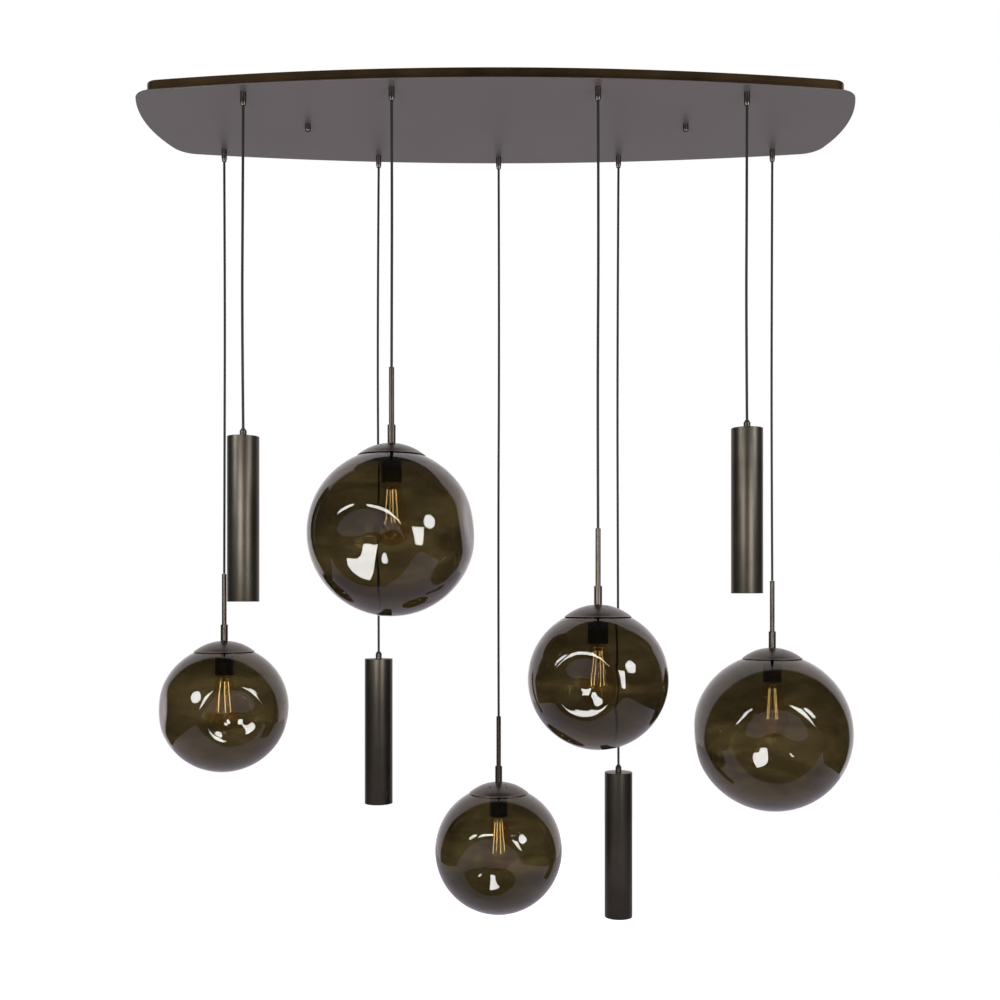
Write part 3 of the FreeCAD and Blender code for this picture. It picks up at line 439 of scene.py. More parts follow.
def speckle_group():
    """A satin lacquer: tiny speckles in its tone and gloss, and a fine uneven surface."""
    group, inside, spot = new_group(
        "Satin lacquer",
        [("Color", "NodeSocketColor", (0.2, 0.18, 0.17, 1)),
         ("Variation", "NodeSocketFloat", 0.15),
         ("Roughness", "NodeSocketFloat", 0.45),
         ("Grain Scale", "NodeSocketFloat", 900.0),
         ("Depth", "NodeSocketFloat", 0.1)])
    grain = noise(group, spot, scale=inside["Grain Scale"], detail=2.0, roughness=0.5)
    clouds = noise(group, spot, scale=5.0, detail=4.0, roughness=0.55)
    swing = maths(group, "SUBTRACT", maths(group, "ADD", grain, clouds), 1.0)
    scale = maths(group, "MULTIPLY_ADD", swing, inside["Variation"], 1.0)
    colour = add(group, "ShaderNodeVectorMath", operation="SCALE", Vector=inside["Color"],
                 Scale=scale)
    return close_group(group, colour.outputs["Vector"],
                       maths(group, "MULTIPLY_ADD", clouds, 0.12, inside["Roughness"]),
                       bump(group, inside["Depth"], grain, distance=0.0002))


def glass_group():
    """Hand-blown glass: uneven smoky bands, a slow ripple and faint smears in its polish."""
    group, inside, spot = new_group(
        "Blown glass",
        [("Thin", "NodeSocketColor", (0.6, 0.55, 0.4, 1)),
         ("Thick", "NodeSocketColor", (0.5, 0.45, 0.3, 1)),
         ("Ripple", "NodeSocketFloat", 0.1),
         ("Smear", "NodeSocketFloat", 0.02)])
    layers = add(group, "ShaderNodeVectorMath", operation="MULTIPLY", Vector=spot)
    layers.inputs[1].default_value = (0.7, 0.7, 2.2)
    bands = noise(group, layers.outputs["Vector"], scale=7.0, detail=3.0, roughness=0.55,
                  distortion=0.6)
    tint = spread(group, bands, low=0.36, high=0.64, interpolation_type="SMOOTHSTEP")
    ripple = noise(group, spot, scale=14.0, detail=1.0, roughness=0.4)
    smear = noise(group, spot, scale=22.0, detail=5.0, roughness=0.6)
    return close_group(group, mix(group, tint, inside["Thin"], inside["Thick"]),
                       spread(group, smear, low=0.5, high=0.8, To_Max=inside["Smear"]),
                       bump(group, inside["Ripple"], ripple, distance=0.004))


BRUSHED = brushed_group()
LACQUER = speckle_group()
BLOWN = glass_group()


def new_material(name, group, values, **shader_values):
    """A material whose Principled shader takes its changing inputs from one group."""
    material = bpy.data.materials.new(name)
    material.use_nodes = True
    tree = material.node_tree
    shader = tree.nodes["Principled BSDF"]
    for key, value in shader_values.items():
        shader.inputs[key.replace("_", " ")].default_value = value
    effect = tree.nodes.new("ShaderNodeGroup")
    effect.node_tree = group
    for key, value in values.items():
        effect.inputs[key].default_value = value
    for output, socket in (("Color", "Base Color"), ("Roughness", "Roughness"),
                           ("Normal", "Normal")):
        tree.links.new(effect.outputs[output], shader.inputs[socket])
    return material


def brushed(name, light, dark, stretch, roughness, depth=0.1):
    """A brushed metal."""
    return new_material(name, BRUSHED, {"Light": (*light, 1), "Dark": (*dark, 1),
                                        "Stretch": stretch, "Roughness": roughness,
                                        "Depth": depth}, Metallic=0.9)


def lacquered(name, colour, variation, roughness, grain, depth, **shader_values):
    """A satin lacquer, plastic or rubber."""
    return new_material(name, LACQUER, {"Color": (*colour, 1), "Variation": variation,
                                        "Roughness": roughness, "Grain Scale": grain,
                                        "Depth": depth}, **shader_values)


def glass_material(name, thin, thick, absorb, density, ripple, smear):
    """A clear glass whose wall darkens the light by two blended tints and by its thickness."""
    material = new_material(name, BLOWN, {"Thin": (*thin, 1), "Thick": (*thick, 1),
                                          "Ripple": ripple, "Smear": smear},
                            IOR=1.5, Transmission_Weight=1.0, Metallic=0.0)
    tree = material.node_tree
    volume = add(tree, "ShaderNodeVolumeAbsorption", Color=(*absorb, 1), Density=density)
    output = tree.nodes["Material Output"]
    tree.links.new(volume.outputs["Volume"], output.inputs["Volume"])
    return material


PLATE_BRONZE = lacquered("plate_bronze", (0.110, 0.098, 0.093), variation=0.10, roughness=0.42,
                         grain=1400, depth=0.06, Metallic=0.55)
WALL_BRONZE = brushed("wall_bronze", (0.20, 0.13, 0.060), (0.05, 0.032, 0.016),
                      stretch=(0.012, 0.012, 1.0), roughness=0.26, depth=0.15)
CAP_BRONZE = lacquered("cap_bronze", (0.092, 0.080, 0.070), variation=0.12, roughness=0.22,
                       grain=1700, depth=0.05, Metallic=0.92)
STEM_BRONZE = brushed("stem_bronze", (0.072, 0.060, 0.048), (0.034, 0.028, 0.022),
                      stretch=(1.0, 1.0, 0.02), roughness=0.27)
TUBE_BRONZE = brushed("tube_bronze", (0.069, 0.060, 0.047), (0.033, 0.028, 0.022),
                      stretch=(1.0, 1.0, 0.014), roughness=0.31)
ZINC = brushed("zinc", (0.62, 0.62, 0.60), (0.42, 0.42, 0.42), stretch=(0.02, 1.0, 1.0),
               roughness=0.3)
TERMINAL_PLASTIC = lacquered("terminal_plastic", (0.72, 0.71, 0.66), variation=0.06,
                             roughness=0.45, grain=700, depth=0.06)
SCREW_BLACK = lacquered("screw_black", (0.012, 0.011, 0.010), variation=0.1, roughness=0.45,
                        grain=2600, depth=0.05)
GRIP_BRONZE = brushed("grip_bronze", (0.070, 0.058, 0.045), (0.03, 0.025, 0.019),
                      stretch=(0.02, 0.02, 1.0), roughness=0.30)
HOLDER_BLACK = lacquered("holder_black", (0.006, 0.006, 0.006), variation=0.1, roughness=0.42,
                         grain=1200, depth=0.04, Specular_IOR_Level=0.3)
CORD_BLACK = lacquered("cord_black", (0.010, 0.0095, 0.0095), variation=0.03, roughness=0.55,
                       grain=60, depth=0.004, Specular_IOR_Level=0.3)
SMOKED_GLASS = glass_material("smoked_glass", (0.74, 0.665, 0.57), (0.385, 0.345, 0.278),
                              absorb=(0.278, 0.244, 0.0), density=431.0, ripple=0.08, smear=0.03)
BULB_GLASS = glass_material("bulb_glass", (1.0, 0.93, 0.76), (1.0, 0.89, 0.68),
                            absorb=(0.95, 0.6, 0.0), density=120.0, ripple=0.03, smear=0.02)
CLEAR_GLASS = glass_material("clear_glass", (0.97, 0.98, 0.97), (0.95, 0.97, 0.95),
                             absorb=(0.6, 0.7, 0.65), density=10.0, ripple=0.02, smear=0.02)
CERAMIC = lacquered("ceramic", (0.62, 0.60, 0.56), variation=0.06, roughness=0.35, grain=600,
                    depth=0.04)
# The filaments glow though the lamps are switched off: painted light that stands in for the pale
# highlight lines on the lamps' glass.
FILAMENT_PAINTED_GLOW = lacquered("filament", (0.95, 0.86, 0.62), variation=0.05, roughness=0.30, grain=1500,
                     depth=0.02, Emission_Color=(1.0, 0.88, 0.70, 1), Emission_Strength=4.0)
BASE_NICKEL = brushed("base_nickel", (0.60, 0.58, 0.54), (0.40, 0.38, 0.35),
                      stretch=(0.02, 0.02, 1.0), roughness=0.22)


# Camera, light and surroundings

def make_camera():
    """A level camera that looks along +Y."""
    data = bpy.data.cameras.new("camera")
    data.lens = CAMERA_LENS
    data.shift_x, data.shift_y = CAMERA_SHIFT
    data.clip_end = 50
    camera = bpy.data.objects.new("camera", data)
    camera.location = CAMERA_SPOT
    camera.rotation_euler = (math.radians(90), 0, 0)
    bpy.context.scene.collection.objects.link(camera)
    bpy.context.scene.camera = camera


def soft_light(name, spot, width, height, watts, colour=(1, 1, 1)):
    """A soft studio light: a rectangle, or a round umbrella where its height is None."""
    data = bpy.data.lights.new(name, "AREA")
    data.shape = "RECTANGLE" if height else "DISK"
    data.size = width
    if height:
        data.size_y = height
    data.energy = watts
    data.color = colour
    lamp = bpy.data.objects.new(name, data)
    lamp.location = spot
    lamp.rotation_euler = (Vector(LIGHT_AIM) - Vector(spot)).to_track_quat("-Z", "Y").to_euler()
    bpy.context.scene.collection.objects.link(lamp)


def make_world():
    """White to the camera, pale through glass, a dark studio's backdrop in mirrors, else grey."""
    world = bpy.data.worlds.new("studio")
    bpy.context.scene.world = world
    world.use_nodes = True
    tree = world.node_tree
    paths = add(tree, "ShaderNodeLightPath").outputs
    backward = add(tree, "ShaderNodeVectorMath", operation="DOT_PRODUCT",
                   Vector=add(tree, "ShaderNodeTexCoord").outputs["Generated"])
    backward.inputs[1].default_value = (0.0, 1.0, 0.27)
    behind = spread(tree, backward.outputs["Value"], low=0.50, high=0.60,
                    interpolation_type="SMOOTHSTEP")
    studio = mix(tree, behind, (0.035, 0.030, 0.026, 1), (0.97, 0.90, 0.94, 1))
    ambient = mix(tree, paths["Is Glossy Ray"], (0.55, 0.55, 0.56, 1), studio)
    clear = mix(tree, paths["Is Transmission Ray"], ambient, (0.97, 0.93, 0.95, 1))
    seen = mix(tree, paths["Is Camera Ray"], clear, (1, 1, 1, 1))
    feed(tree, tree.nodes["Background"].inputs["Color"], seen)


def make_floor():
    """A pale floor: near white to the camera, white through glass and mauve in reflections."""
    deselect()
    bpy.ops.mesh.primitive_plane_add(size=1, location=(0, 1.4, FLOOR_LEVEL))
    bpy.context.object.scale = (4.8, 7.2, 1)
    floor = settle(bpy.context.object, "studio_floor")
    material = bpy.data.materials.new("floor_pale")
    material.use_nodes = True
    tree = material.node_tree
    link = tree.links.new
    shader = tree.nodes["Principled BSDF"]
    shader.inputs["Base Color"].default_value = (0.8, 0.8, 0.8, 1)
    shader.inputs["Roughness"].default_value = 0.6
    shader.inputs["Emission Color"].default_value = (1, 1, 1, 1)
    paths = add(tree, "ShaderNodeLightPath").outputs
    link(maths(tree, "MULTIPLY", paths["Is Camera Ray"], FLOOR_LIFT),
         shader.inputs["Emission Strength"])
    mirrored = add(tree, "ShaderNodeEmission", Color=(0.92, 0.83, 1.0, 1), Strength=0.60)
    through = add(tree, "ShaderNodeEmission", Color=(1, 1, 1, 1), Strength=1.0)
    first = add(tree, "ShaderNodeMixShader", Fac=paths["Is Glossy Ray"])
    link(shader.outputs["BSDF"], first.inputs[1])
    link(mirrored.outputs["Emission"], first.inputs[2])
    second = add(tree, "ShaderNodeMixShader", Fac=paths["Is Transmission Ray"])
    link(first.outputs["Shader"], second.inputs[1])
    link(through.outputs["Emission"], second.inputs[2])
    link(second.outputs["Shader"], tree.nodes["Material Output"].inputs["Surface"])
    floor.data.materials.append(material)


make_camera()
make_world()
make_floor()
soft_light("left_softbox", (-0.58, -1.455, -0.883), width=0.54, height=0.573, watts=17)
soft_light("right_softbox", (0.874, -1.388, -1.01), width=0.432, height=0.63, watts=15)
soft_light("left_umbrella", (-1.70, -1.404, -0.409), width=0.662, height=None, watts=19,
           colour=UMBRELLA_WHITE)
soft_light("right_umbrella", (1.748, -1.402, -0.38), width=0.657, height=None, watts=19,
           colour=UMBRELLA_WHITE)
bpy.context.scene.view_settings.view_transform = "Standard"


# Cords

def cord(name):
    """The free cord of one pendant, between the same ends as its solid, with a slight wave."""
    top = SWING[name]
    drop = top.z - TILT[name].z
    (x_1, y_1), (x_2, y_2) = CORD_BOWS[name]
    points = [top, top + Vector((x_1 * MM, y_1 * MM, -drop / 3)),
              top + Vector((x_2 * MM, y_2 * MM, -drop * 2 / 3)), top - Vector((0, 0, drop))]
    data = bpy.data.curves.new(f"{name}_flex", "CURVE")
    data.dimensions = "3D"
    data.bevel_depth = CORD_DIAMETER / 2
    data.bevel_resolution = 5
    data.use_fill_caps = True
    data.resolution_u = 10
    spline = data.splines.new("NURBS")
    spline.points.add(len(points) - 1)
    for place, point in zip(spline.points, points):
        place.co = (*point, 1)
    spline.order_u = 3
    spline.use_endpoint_u = True
    flex = bpy.data.objects.new(f"{name}_flex", data)
    bpy.context.scene.collection.objects.link(flex)
    dress(flex, CORD_BLACK, f"{name}_line", "cord_black", f"{name}_cord")


for pendant in GLOBES + TUBES:
    cord(pendant)


# Globes

def pole_direction(turn, tilt):
    """A unit vector from a turn about Z and a tilt above the level plane, in degrees."""
    turn, tilt = math.radians(turn), math.radians(tilt)
    return Vector((math.cos(turn) * math.cos(tilt), math.sin(turn) * math.cos(tilt),
                   math.sin(tilt)))


def dent_slope(share):
    """How steep a funnel is at a share of its reach: a round tip, a straight cone, a round rim."""
    tip = min(share / FUNNEL_TIP, 1)
    rim = max(share - FUNNEL_RIM, 0) / (1 - FUNNEL_RIM)
    return tip * tip * (3 - 2 * tip) * (1 - rim * rim) ** FUNNEL_EASE


DENT_STEPS = 200
DENT_FALL = [0.0]
for step in range(DENT_STEPS, 0, -1):
    DENT_FALL.append(DENT_FALL[-1] + dent_slope((step - 0.5) / DENT_STEPS))
DENT_FALL = [fall / DENT_FALL[-1] for fall in reversed(DENT_FALL)]


def dent_depth(share, funnel):
    """How deep a funnel or a round hollow is, from 1 at its middle to 0 at its rim."""
    if share >= 1:
        return 0.0
    if not funnel:
        return (1 + math.cos(math.pi * share)) / 2
    step = int(share * DENT_STEPS)
    part = share * DENT_STEPS - step
    return DENT_FALL[step] * (1 - part) + DENT_FALL[step + 1] * part


def dent_share(out, middle, right, reach, tip):
    """How far a direction lies from a dent's tip towards its rim: 0 at the tip, 1 at the rim."""
    angle = out.angle(middle)
    if angle >= reach:
        return 1.0
    place = Vector((out.dot(right), out.dot(middle.cross(right))))
    place = place.normalized() * angle
    way = place - tip
    room = reach ** 2 - tip.length_squared
    along = way.dot(tip)
    return (along + math.sqrt(along ** 2 + room * way.length_squared)) / room


def blown_globe(name):
    """A round ball of even squares, pressed in at its dents, given a wall and a mouth."""
    radius = GLOBE_RADIUS[name]
    deselect()
    bpy.ops.mesh.primitive_cube_add(size=2 * radius)
    globe = bpy.context.object
    globe.name = f"{name}_blown_glass"
    bpy.ops.object.mode_set(mode="EDIT")
    bpy.ops.mesh.subdivide(number_cuts=GLOBE_CUTS)
    bpy.ops.object.mode_set(mode="OBJECT")
    cast = globe.modifiers.new("round", "CAST")
    cast.cast_type = "SPHERE"
    cast.factor = 1.0
    cast.use_radius_as_size = False
    cast.size = radius
    apply_all(globe)
    dents = []
    for number, (turn, tilt) in enumerate(DENTS[name]):
        reach, deep = SIDE_DENT if number else FRONT_DENTS[name]
        if number and OUTLINE_DENTS.get(name) == number:
            deep = OUTLINE_DEPTH
        shift = (0, 0) if number else TIP_SHIFTS[name]
        dents.append((pole_direction(turn, tilt), pole_direction(turn + 90, 0),
                      math.radians(reach), Vector(shift) * math.radians(1), deep * radius,
                      number == 0))
    for vertex in globe.data.vertices:
        out = vertex.co.normalized()
        spot = out * radius
        for middle, right, reach, tip, deep, funnel in dents:
            share = dent_share(out, middle, right, reach, tip)
            spot = spot - middle * deep * dent_depth(share, funnel)
        vertex.co = spot
    give_wall(globe, GLASS_WALL, even=True)
    cut_with(globe, cylinder(64, MOUTH_RADIUS, radius, (0, 0, radius)))
    smooth(globe, 60)
    globe.data.transform(Matrix.Translation((TILT[name].x, TILT[name].y, GLOBE_MIDDLE[name])))
    dress(globe, SMOKED_GLASS, f"{name}_shade", "smoked_glass", f"{name}_glass")


for pendant in GLOBES:
    blown_globe(pendant)


# Canopy

def circles_meet(side, side_middle, end, end_middle):
    """Where a round about (0, side_middle) and one about (end_middle, 0) cross, at +X and +Y."""
    span = math.hypot(end_middle, side_middle)
    along = (side ** 2 - end ** 2 + span ** 2) / (2 * span)
    across = math.sqrt(side ** 2 - along ** 2)
    ahead_x, ahead_y = end_middle / span, -side_middle / span
    return along * ahead_x + across * ahead_y, side_middle + along * ahead_y - across * ahead_x


def bowed_outline(name, inset):
    """The canopy's outline at z 0, spun arc by arc through one quarter, then mirrored twice."""
    half_length, half_width = PLATE_LENGTH / 2 - inset, PLATE_WIDTH / 2 - inset
    side, end, corner = SIDE_RADIUS - inset, END_RADIUS - inset, CORNER_RADIUS - inset
    side_y, end_x = half_width - side, half_length - end
    corner_x, corner_y = circles_meet(side - corner, side_y, end - corner, end_x)
    end_turn = math.atan2(corner_y, corner_x - end_x)
    side_turn = math.atan2(corner_y - side_y, corner_x)
    deselect()
    bpy.ops.mesh.primitive_plane_add(size=0.01, location=(half_length, 0, 0))
    outline = settle(bpy.context.object, name)
    edit_all()
    bpy.ops.mesh.merge(type="CENTER")
    arcs = ((end_x, 0, end_turn, 24), (corner_x, corner_y, side_turn - end_turn, 18),
            (0, side_y, math.pi / 2 - side_turn, 40))
    for x, y, angle, steps in arcs:
        bpy.ops.mesh.spin(steps=steps, angle=-angle, center=(x, y, 0), axis=(0, 0, 1))
    bpy.ops.object.mode_set(mode="OBJECT")
    mirror = outline.modifiers.new("quarters", "MIRROR")
    mirror.use_axis = (True, True, False)
    mirror.merge_threshold = 1e-5
    return apply_all(outline)


def canopy_plate():
    """The thin plate with its holes."""
    plate = bowed_outline("canopy_plate_sheet", 0)
    only(plate)
    edit_all()
    bpy.ops.mesh.edge_face_add()
    bpy.ops.mesh.extrude_region_move(TRANSFORM_OT_translate={"value": (0, 0, PLATE_THICKNESS)})
    bpy.ops.mesh.select_all(action="SELECT")
    bpy.ops.transform.translate(value=(0, 0, PLATE_UNDERSIDE))
    face_outwards()
    drills = [(spot.x, spot.y, THREAD_RADIUS + FIT_GAP) for spot in SWING.values()]
    drills += [(x, 0, STUD_HOLE_RADIUS) for x in (-STUD_X, STUD_X)]
    tools = [cylinder(32, radius, 20 * MM, (x, y, PLATE_UNDERSIDE)) for x, y, radius in drills]
    cut_with(plate, join("plate_drills", tools))
    bevelled(plate, 0.4 * MM)
    smooth(plate, 20)
    dress(plate, PLATE_BRONZE, "canopy", "bronze_satin", "canopy_plate")


def canopy_wall():
    """The upright wall on the plate, with its edges rolled over a little."""
    wall = bowed_outline("canopy_wall", FRAME_INSET)
    only(wall)
    edit_all()
    bpy.ops.mesh.extrude_region_move(
        TRANSFORM_OT_translate={"value": (0, 0, PLATE_UNDERSIDE + PLATE_THICKNESS)})
    face_outwards()
    give_wall(wall, FRAME_WALL)
    bevelled(wall, 0.4 * MM)
    smooth(wall, 20)
    dress(wall, WALL_BRONZE, "canopy", "bronze_brushed", "canopy_frame")


def side_screw(name, inner, outer):
    """A grub screw along -Y from inner to outer, in millimetres, with a hexagon socket."""
    long = (outer - inner) * MM
    screw = cylinder(24, GRUB_RADIUS, long, (0, 0, (outer + inner) / 2 * MM))
    bevelled(settle(screw, name), GRUB_RADIUS * 0.15)
    cut_with(screw, cylinder(6, GRUB_RADIUS * 0.5, long, (0, 0, outer * MM)))
    screw.data.transform(Matrix.Rotation(math.radians(90), 4, "X"))
    return smooth(screw, 30)


def canopy_grips():
    """Nine grips under the plate and their side screws."""
    grip = turned("grip_model", (
        (2.7, 6), (4.5, 6), (4.8, 5.7), (4.8, 0), (5.3, 0), (5.5, -0.3), (5.5, -17.6),
        (5.35, -18.4), (4.3, -23.6), (4.1, -24), (3.0, -24), (2.7, -23.6)))
    smooth(grip, 30)
    screw = side_screw("grip_screw_model", 3.2, 6.2)
    grips, screws = [], []
    for name, spot in SWING.items():
        foot = Vector((spot.x, spot.y, PLATE_UNDERSIDE))
        turn = 0 if name.startswith("front") else math.pi
        grips.append(copy_to(grip, f"{name}_canopy_grip", foot))
        screws.append(copy_to(screw, f"{name}_canopy_grip_screw", foot - Vector((0, 0, 15 * MM)),
                              turn))
    throw_away(grip, screw)
    dress(join("canopy_grips", grips), CAP_BRONZE, "canopy", "bronze_dark", "cord_grips")
    dress(join("canopy_grip_screws", screws), SCREW_BLACK, "canopy", "bronze_dark", "cord_grips")


def cap_nuts():
    """Two round-ended nuts that hold the plate up, with a fine groove below the plate."""
    radius, shoulder = 5.5, -10.5
    rings = [(3.2, -12), (3.2, 0), (5.2, 0), (radius, -0.3), (radius, -2.2), (5.2, -2.5),
             (5.2, -2.9), (radius, -3.2), (radius, shoulder)]
    for step in range(1, 10):
        angle = math.radians(step * 9.8)
        rings.append((radius * math.cos(angle), shoulder - radius * math.sin(angle)))
    nut = smooth(turned("cap_nut_model", rings, sides=40, closed=False), 30)
    nuts = [copy_to(nut, f"cap_nut_{side}", Vector((x, 0, PLATE_UNDERSIDE)))
            for side, x in (("left", -STUD_X), ("right", STUD_X))]
    throw_away(nut)
    dress(join("canopy_cap_nuts", nuts), CAP_BRONZE, "canopy", "bronze_dark", "cap_nuts")


def finish_hidden_parts():
    """Materials for the solids inside the canopy, which keep their own shapes."""
    for node, material in (("ceiling_bracket", ZINC), ("bracket_studs", ZINC),
                           ("grip_nuts", ZINC), ("terminal_blocks", TERMINAL_PLASTIC),
                           ("canopy_leads", CORD_BLACK)):
        for slot in frame["nodes"][node].material_slots:
            slot.material = material


canopy_plate()
canopy_wall()
canopy_grips()
cap_nuts()
finish_hidden_parts()


# Globe pendants

def stem_models():
    """The stem tube and the lead inside it, down from the stem's top."""
    tube = turned("stem_model", ((3.55, -117), (4.75, -117), (4.75, -0.35), (4.45, 0),
                                 (3.85, 0), (3.55, -0.3)), sides=40)
    lead = turned("stem_lead_model", ((0.4, 0), (2.2, 0), (2.4, -0.2), (2.4, -124),
                                      (0.4, -124)), sides=24, closed=False)
    return smooth(tube, 30), smooth(lead, 30)


def collar_models():
    """The sleeve at the stem's foot and its grub screw, down from the stem's top."""
    sleeve = turned("collar_model", (
        (5.1, -136), (6.95, -136), (7.25, -135.7), (7.25, -103.5), (6.8, -103), (5.0, -103),
        (4.85, -103.2), (4.85, -117), (2.7, -117), (2.7, -124), (5.1, -124)))
    screw = side_screw("collar_screw_model", 5.0, 7.95)
    screw.data.transform(Matrix.Translation((0, 0, -112 * MM)))
    return smooth(sleeve, 30), screw


def dome_height(radius, sphere=CAP_DOME):
    """How high a dome of that sphere stands over the cap's rim at a radius, in millimetres."""
    return CAP_TALL - CAP_DOME + math.sqrt(sphere ** 2 - radius ** 2)


def cap_models():
    """The domed cap with three screws sunk in it and six small vents round them."""
    rings = [(5.1, dome_height(5.1))]
    for step in range(17):
        radius = 7 + step * 52.6 / 16
        rings.append((radius, dome_height(radius)))
    rings += [(60.4, 0.45), (60.5, 0.15), (60.3, 0), (58.4, 0), (58.1, 0.2)]
    for step in range(1, 13):
        radius = 58 - step * 52.9 / 12
        rings.append((radius, dome_height(radius, CAP_DOME - CAP_WALL)))
    dome = turned("cap_model", rings, sides=96)
    holes = [(SCREW_HOLE, round_spot(SCREW_CIRCLE, turn, CAP_TALL)) for turn in SCREW_TURNS]
    holes += [(VENT_HOLE, round_spot(VENT_CIRCLE, turn, CAP_TALL)) for turn in VENT_TURNS]
    tools = [cylinder(24, radius * MM, 20 * MM, spot) for radius, spot in holes]
    cut_with(dome, join("cap_drills", tools))
    head = dome_height(SCREW_CIRCLE) - SCREW_SUNK
    screw = turned("cap_screw_model", ((0.4, head - 1), (0.9, head - 1), (0.9, head), (1.5, head),
                                       (1.7, head - 0.2), (1.7, 10.1), (0.4, 10.1)), sides=24,
                   closed=False)
    screws = [copy_to(screw, "cap_screw", round_spot(SCREW_CIRCLE, turn))
              for turn in SCREW_TURNS]
    throw_away(screw)
    return smooth(dome, 30), smooth(join("cap_screws_model", screws), 30)


def spring_plate(name, tip_level):
    """The hub under the cap and the three arms that reach down and out under the glass."""
    hub, shoulder = SPRING_HUB, SPRING_SHOULDER
    above, below = hub / MM, (hub - SPRING_SHEET) / MM
    disc = turned("spring_hub", ((8.3, above), (28, above), (28, below), (8.3, below)), sides=64)
    deselect()
    bpy.ops.mesh.primitive_plane_add(size=1, location=(0, 0, 0))
    arm = settle(bpy.context.object, "spring_arm")
    for vertex in arm.data.vertices:
        vertex.co = (27 * MM if vertex.co.x < 0 else shoulder, vertex.co.y * SPRING_WIDTH, hub)
    bpy.ops.object.mode_set(mode="EDIT")
    bpy.ops.mesh.select_mode(type="VERT")
    for move in ((0, 0, tip_level - hub), (SPRING_TIP - shoulder, 0, 0)):
        bpy.ops.object.mode_set(mode="OBJECT")
        lowest = min(v.co.z for v in arm.data.vertices)
        for vertex in arm.data.vertices:
            vertex.select = abs(vertex.co.x - shoulder) < 1e-6 and vertex.co.z < lowest + 1e-6
        bpy.ops.object.mode_set(mode="EDIT")
        bpy.ops.mesh.extrude_region_move(TRANSFORM_OT_translate={"value": move})
    face_outwards()
    if arm.data.polygons[0].normal.z < 0:
        arm.data.flip_normals()
    give_wall(arm, SPRING_SHEET)
    bevelled(arm, 0.3 * MM)
    arms = [copy_to(arm, "spring_arm", (0, 0, 0), turn) for turn in SCREW_TURNS]
    throw_away(arm)
    return smooth(join(f"{name}_spring_plate", [disc] + arms), 30)


def holder_model():
    """The black lampholder down from the cap's rim: nipple, neck, ribbed shell and open socket."""
    rings = [(0.4, 33.7), (4.7, 33.7), (5.0, 33.4), (5.0, 19.85), (8.0, 19.85), (8.0, -9.2),
             (8.6, -10), (16.6, -10), (17.9, -10.5), (18.5, -11.8), (18.5, -14.6), (18.0, -15.0),
             (18.0, -15.6), (18.5, -16.0), (18.5, -32.2), (18.0, -32.6), (18.0, -33.2),
             (18.5, -33.6), (18.5, -47.4), (18.1, -48), (14.2, -48), (13.6, -47.6),
             (13.6, -23.0), (0.4, -23.0)]
    return smooth(turned("holder_model", rings, sides=64, closed=False), 30)


def lamp_models():
    """The filament lamp down from the holder's foot: screw base, thin glass and what it holds."""
    base_rings = [(0.4, 24.6), (3.5, 24.6), (4.2, 24.0), (9.5, 22.4), (11.8, 21.4)]
    for turn in range(5):
        level = 20.4 - turn * 3.6
        base_rings += [(13.1, level), (13.2, level - 0.6), (12.2, level - 1.7),
                       (12.2, level - 2.2)]
    base_rings += [(13.1, 1.6), (13.1, -0.4), (12.4, -0.8), (0.4, -0.8)]
    base = smooth(turned("lamp_base_model", base_rings, closed=False), 40)
    ball, middle, neck, neck_foot = 32, -80, 14.5, -3
    up = neck_foot - middle
    touch = math.atan2(up, neck) - math.acos(ball / math.hypot(neck, up))
    outside = [(12.6, 0.6), (13.4, -0.2), (14.2, -1.2), (neck, neck_foot)]
    start = Vector((neck, neck_foot))
    end = Vector((ball * math.cos(touch), middle + ball * math.sin(touch)))
    for step in range(1, 8):
        outside.append(tuple(start.lerp(end, step / 8)))
    turns = 22
    for step in range(turns + 1):
        angle = touch + (-math.pi / 2 * 0.992 - touch) * step / turns
        outside.append((ball * math.cos(angle), middle + ball * math.sin(angle)))
    glass = turned("lamp_glass_model", outside, sides=56, closed=False)
    top = max(v.co.z for v in glass.data.vertices)
    ring = {v.index for v in glass.data.vertices if v.co.z > top - 1e-6}
    for vertex in glass.data.vertices:
        vertex.select = vertex.index in ring
    for part in list(glass.data.edges) + list(glass.data.polygons):
        part.select = ring.issuperset(part.vertices)
    only(glass)
    bpy.ops.object.mode_set(mode="EDIT")
    bpy.ops.mesh.select_mode(type="FACE")
    bpy.ops.mesh.delete(type="FACE")
    bpy.ops.object.mode_set(mode="OBJECT")
    give_wall(glass, 0.8 * MM)
    mount = turned("lamp_mount_model", (
        (9.5, -1.0), (8.8, -5.0), (5.0, -8.0), (2.6, -11.0), (2.1, -15.0), (2.1, -77.0),
        (2.7, -78.5), (2.0, -80.0), (0.3, -80.4)), sides=24, closed=False)
    return base, smooth(glass, 40), smooth(mount, 40)


def filament_models():
    """Four long filaments round the lamp's glass rod, and a wire arm above and below each."""
    strips, arms = [], []
    for step in range(4):
        turn = Matrix.Rotation(math.radians(22 + 90 * step), 4, "Z")
        strip = cylinder(10, 0.65 * MM, 62 * MM, (10 * MM, 0, -44 * MM), math.radians(-4))
        bevelled(settle(strip, "filament_strip"), 0.2 * MM)
        strip.data.transform(turn)
        strips.append(strip)
        for reach, level, lean in ((7.9, -12.8, 80), (12.2, -75.4, 96)):
            wire = cylinder(8, 0.35 * MM, reach * MM, (reach / 2 * MM, 0, level * MM),
                            math.radians(lean))
            bevelled(settle(wire, "filament_wire"), 0.1 * MM, segments=1)
            wire.data.transform(turn)
            arms.append(wire)
    return smooth(join("lamp_filament_model", strips), 40), smooth(join("lamp_arm_model", arms), 40)


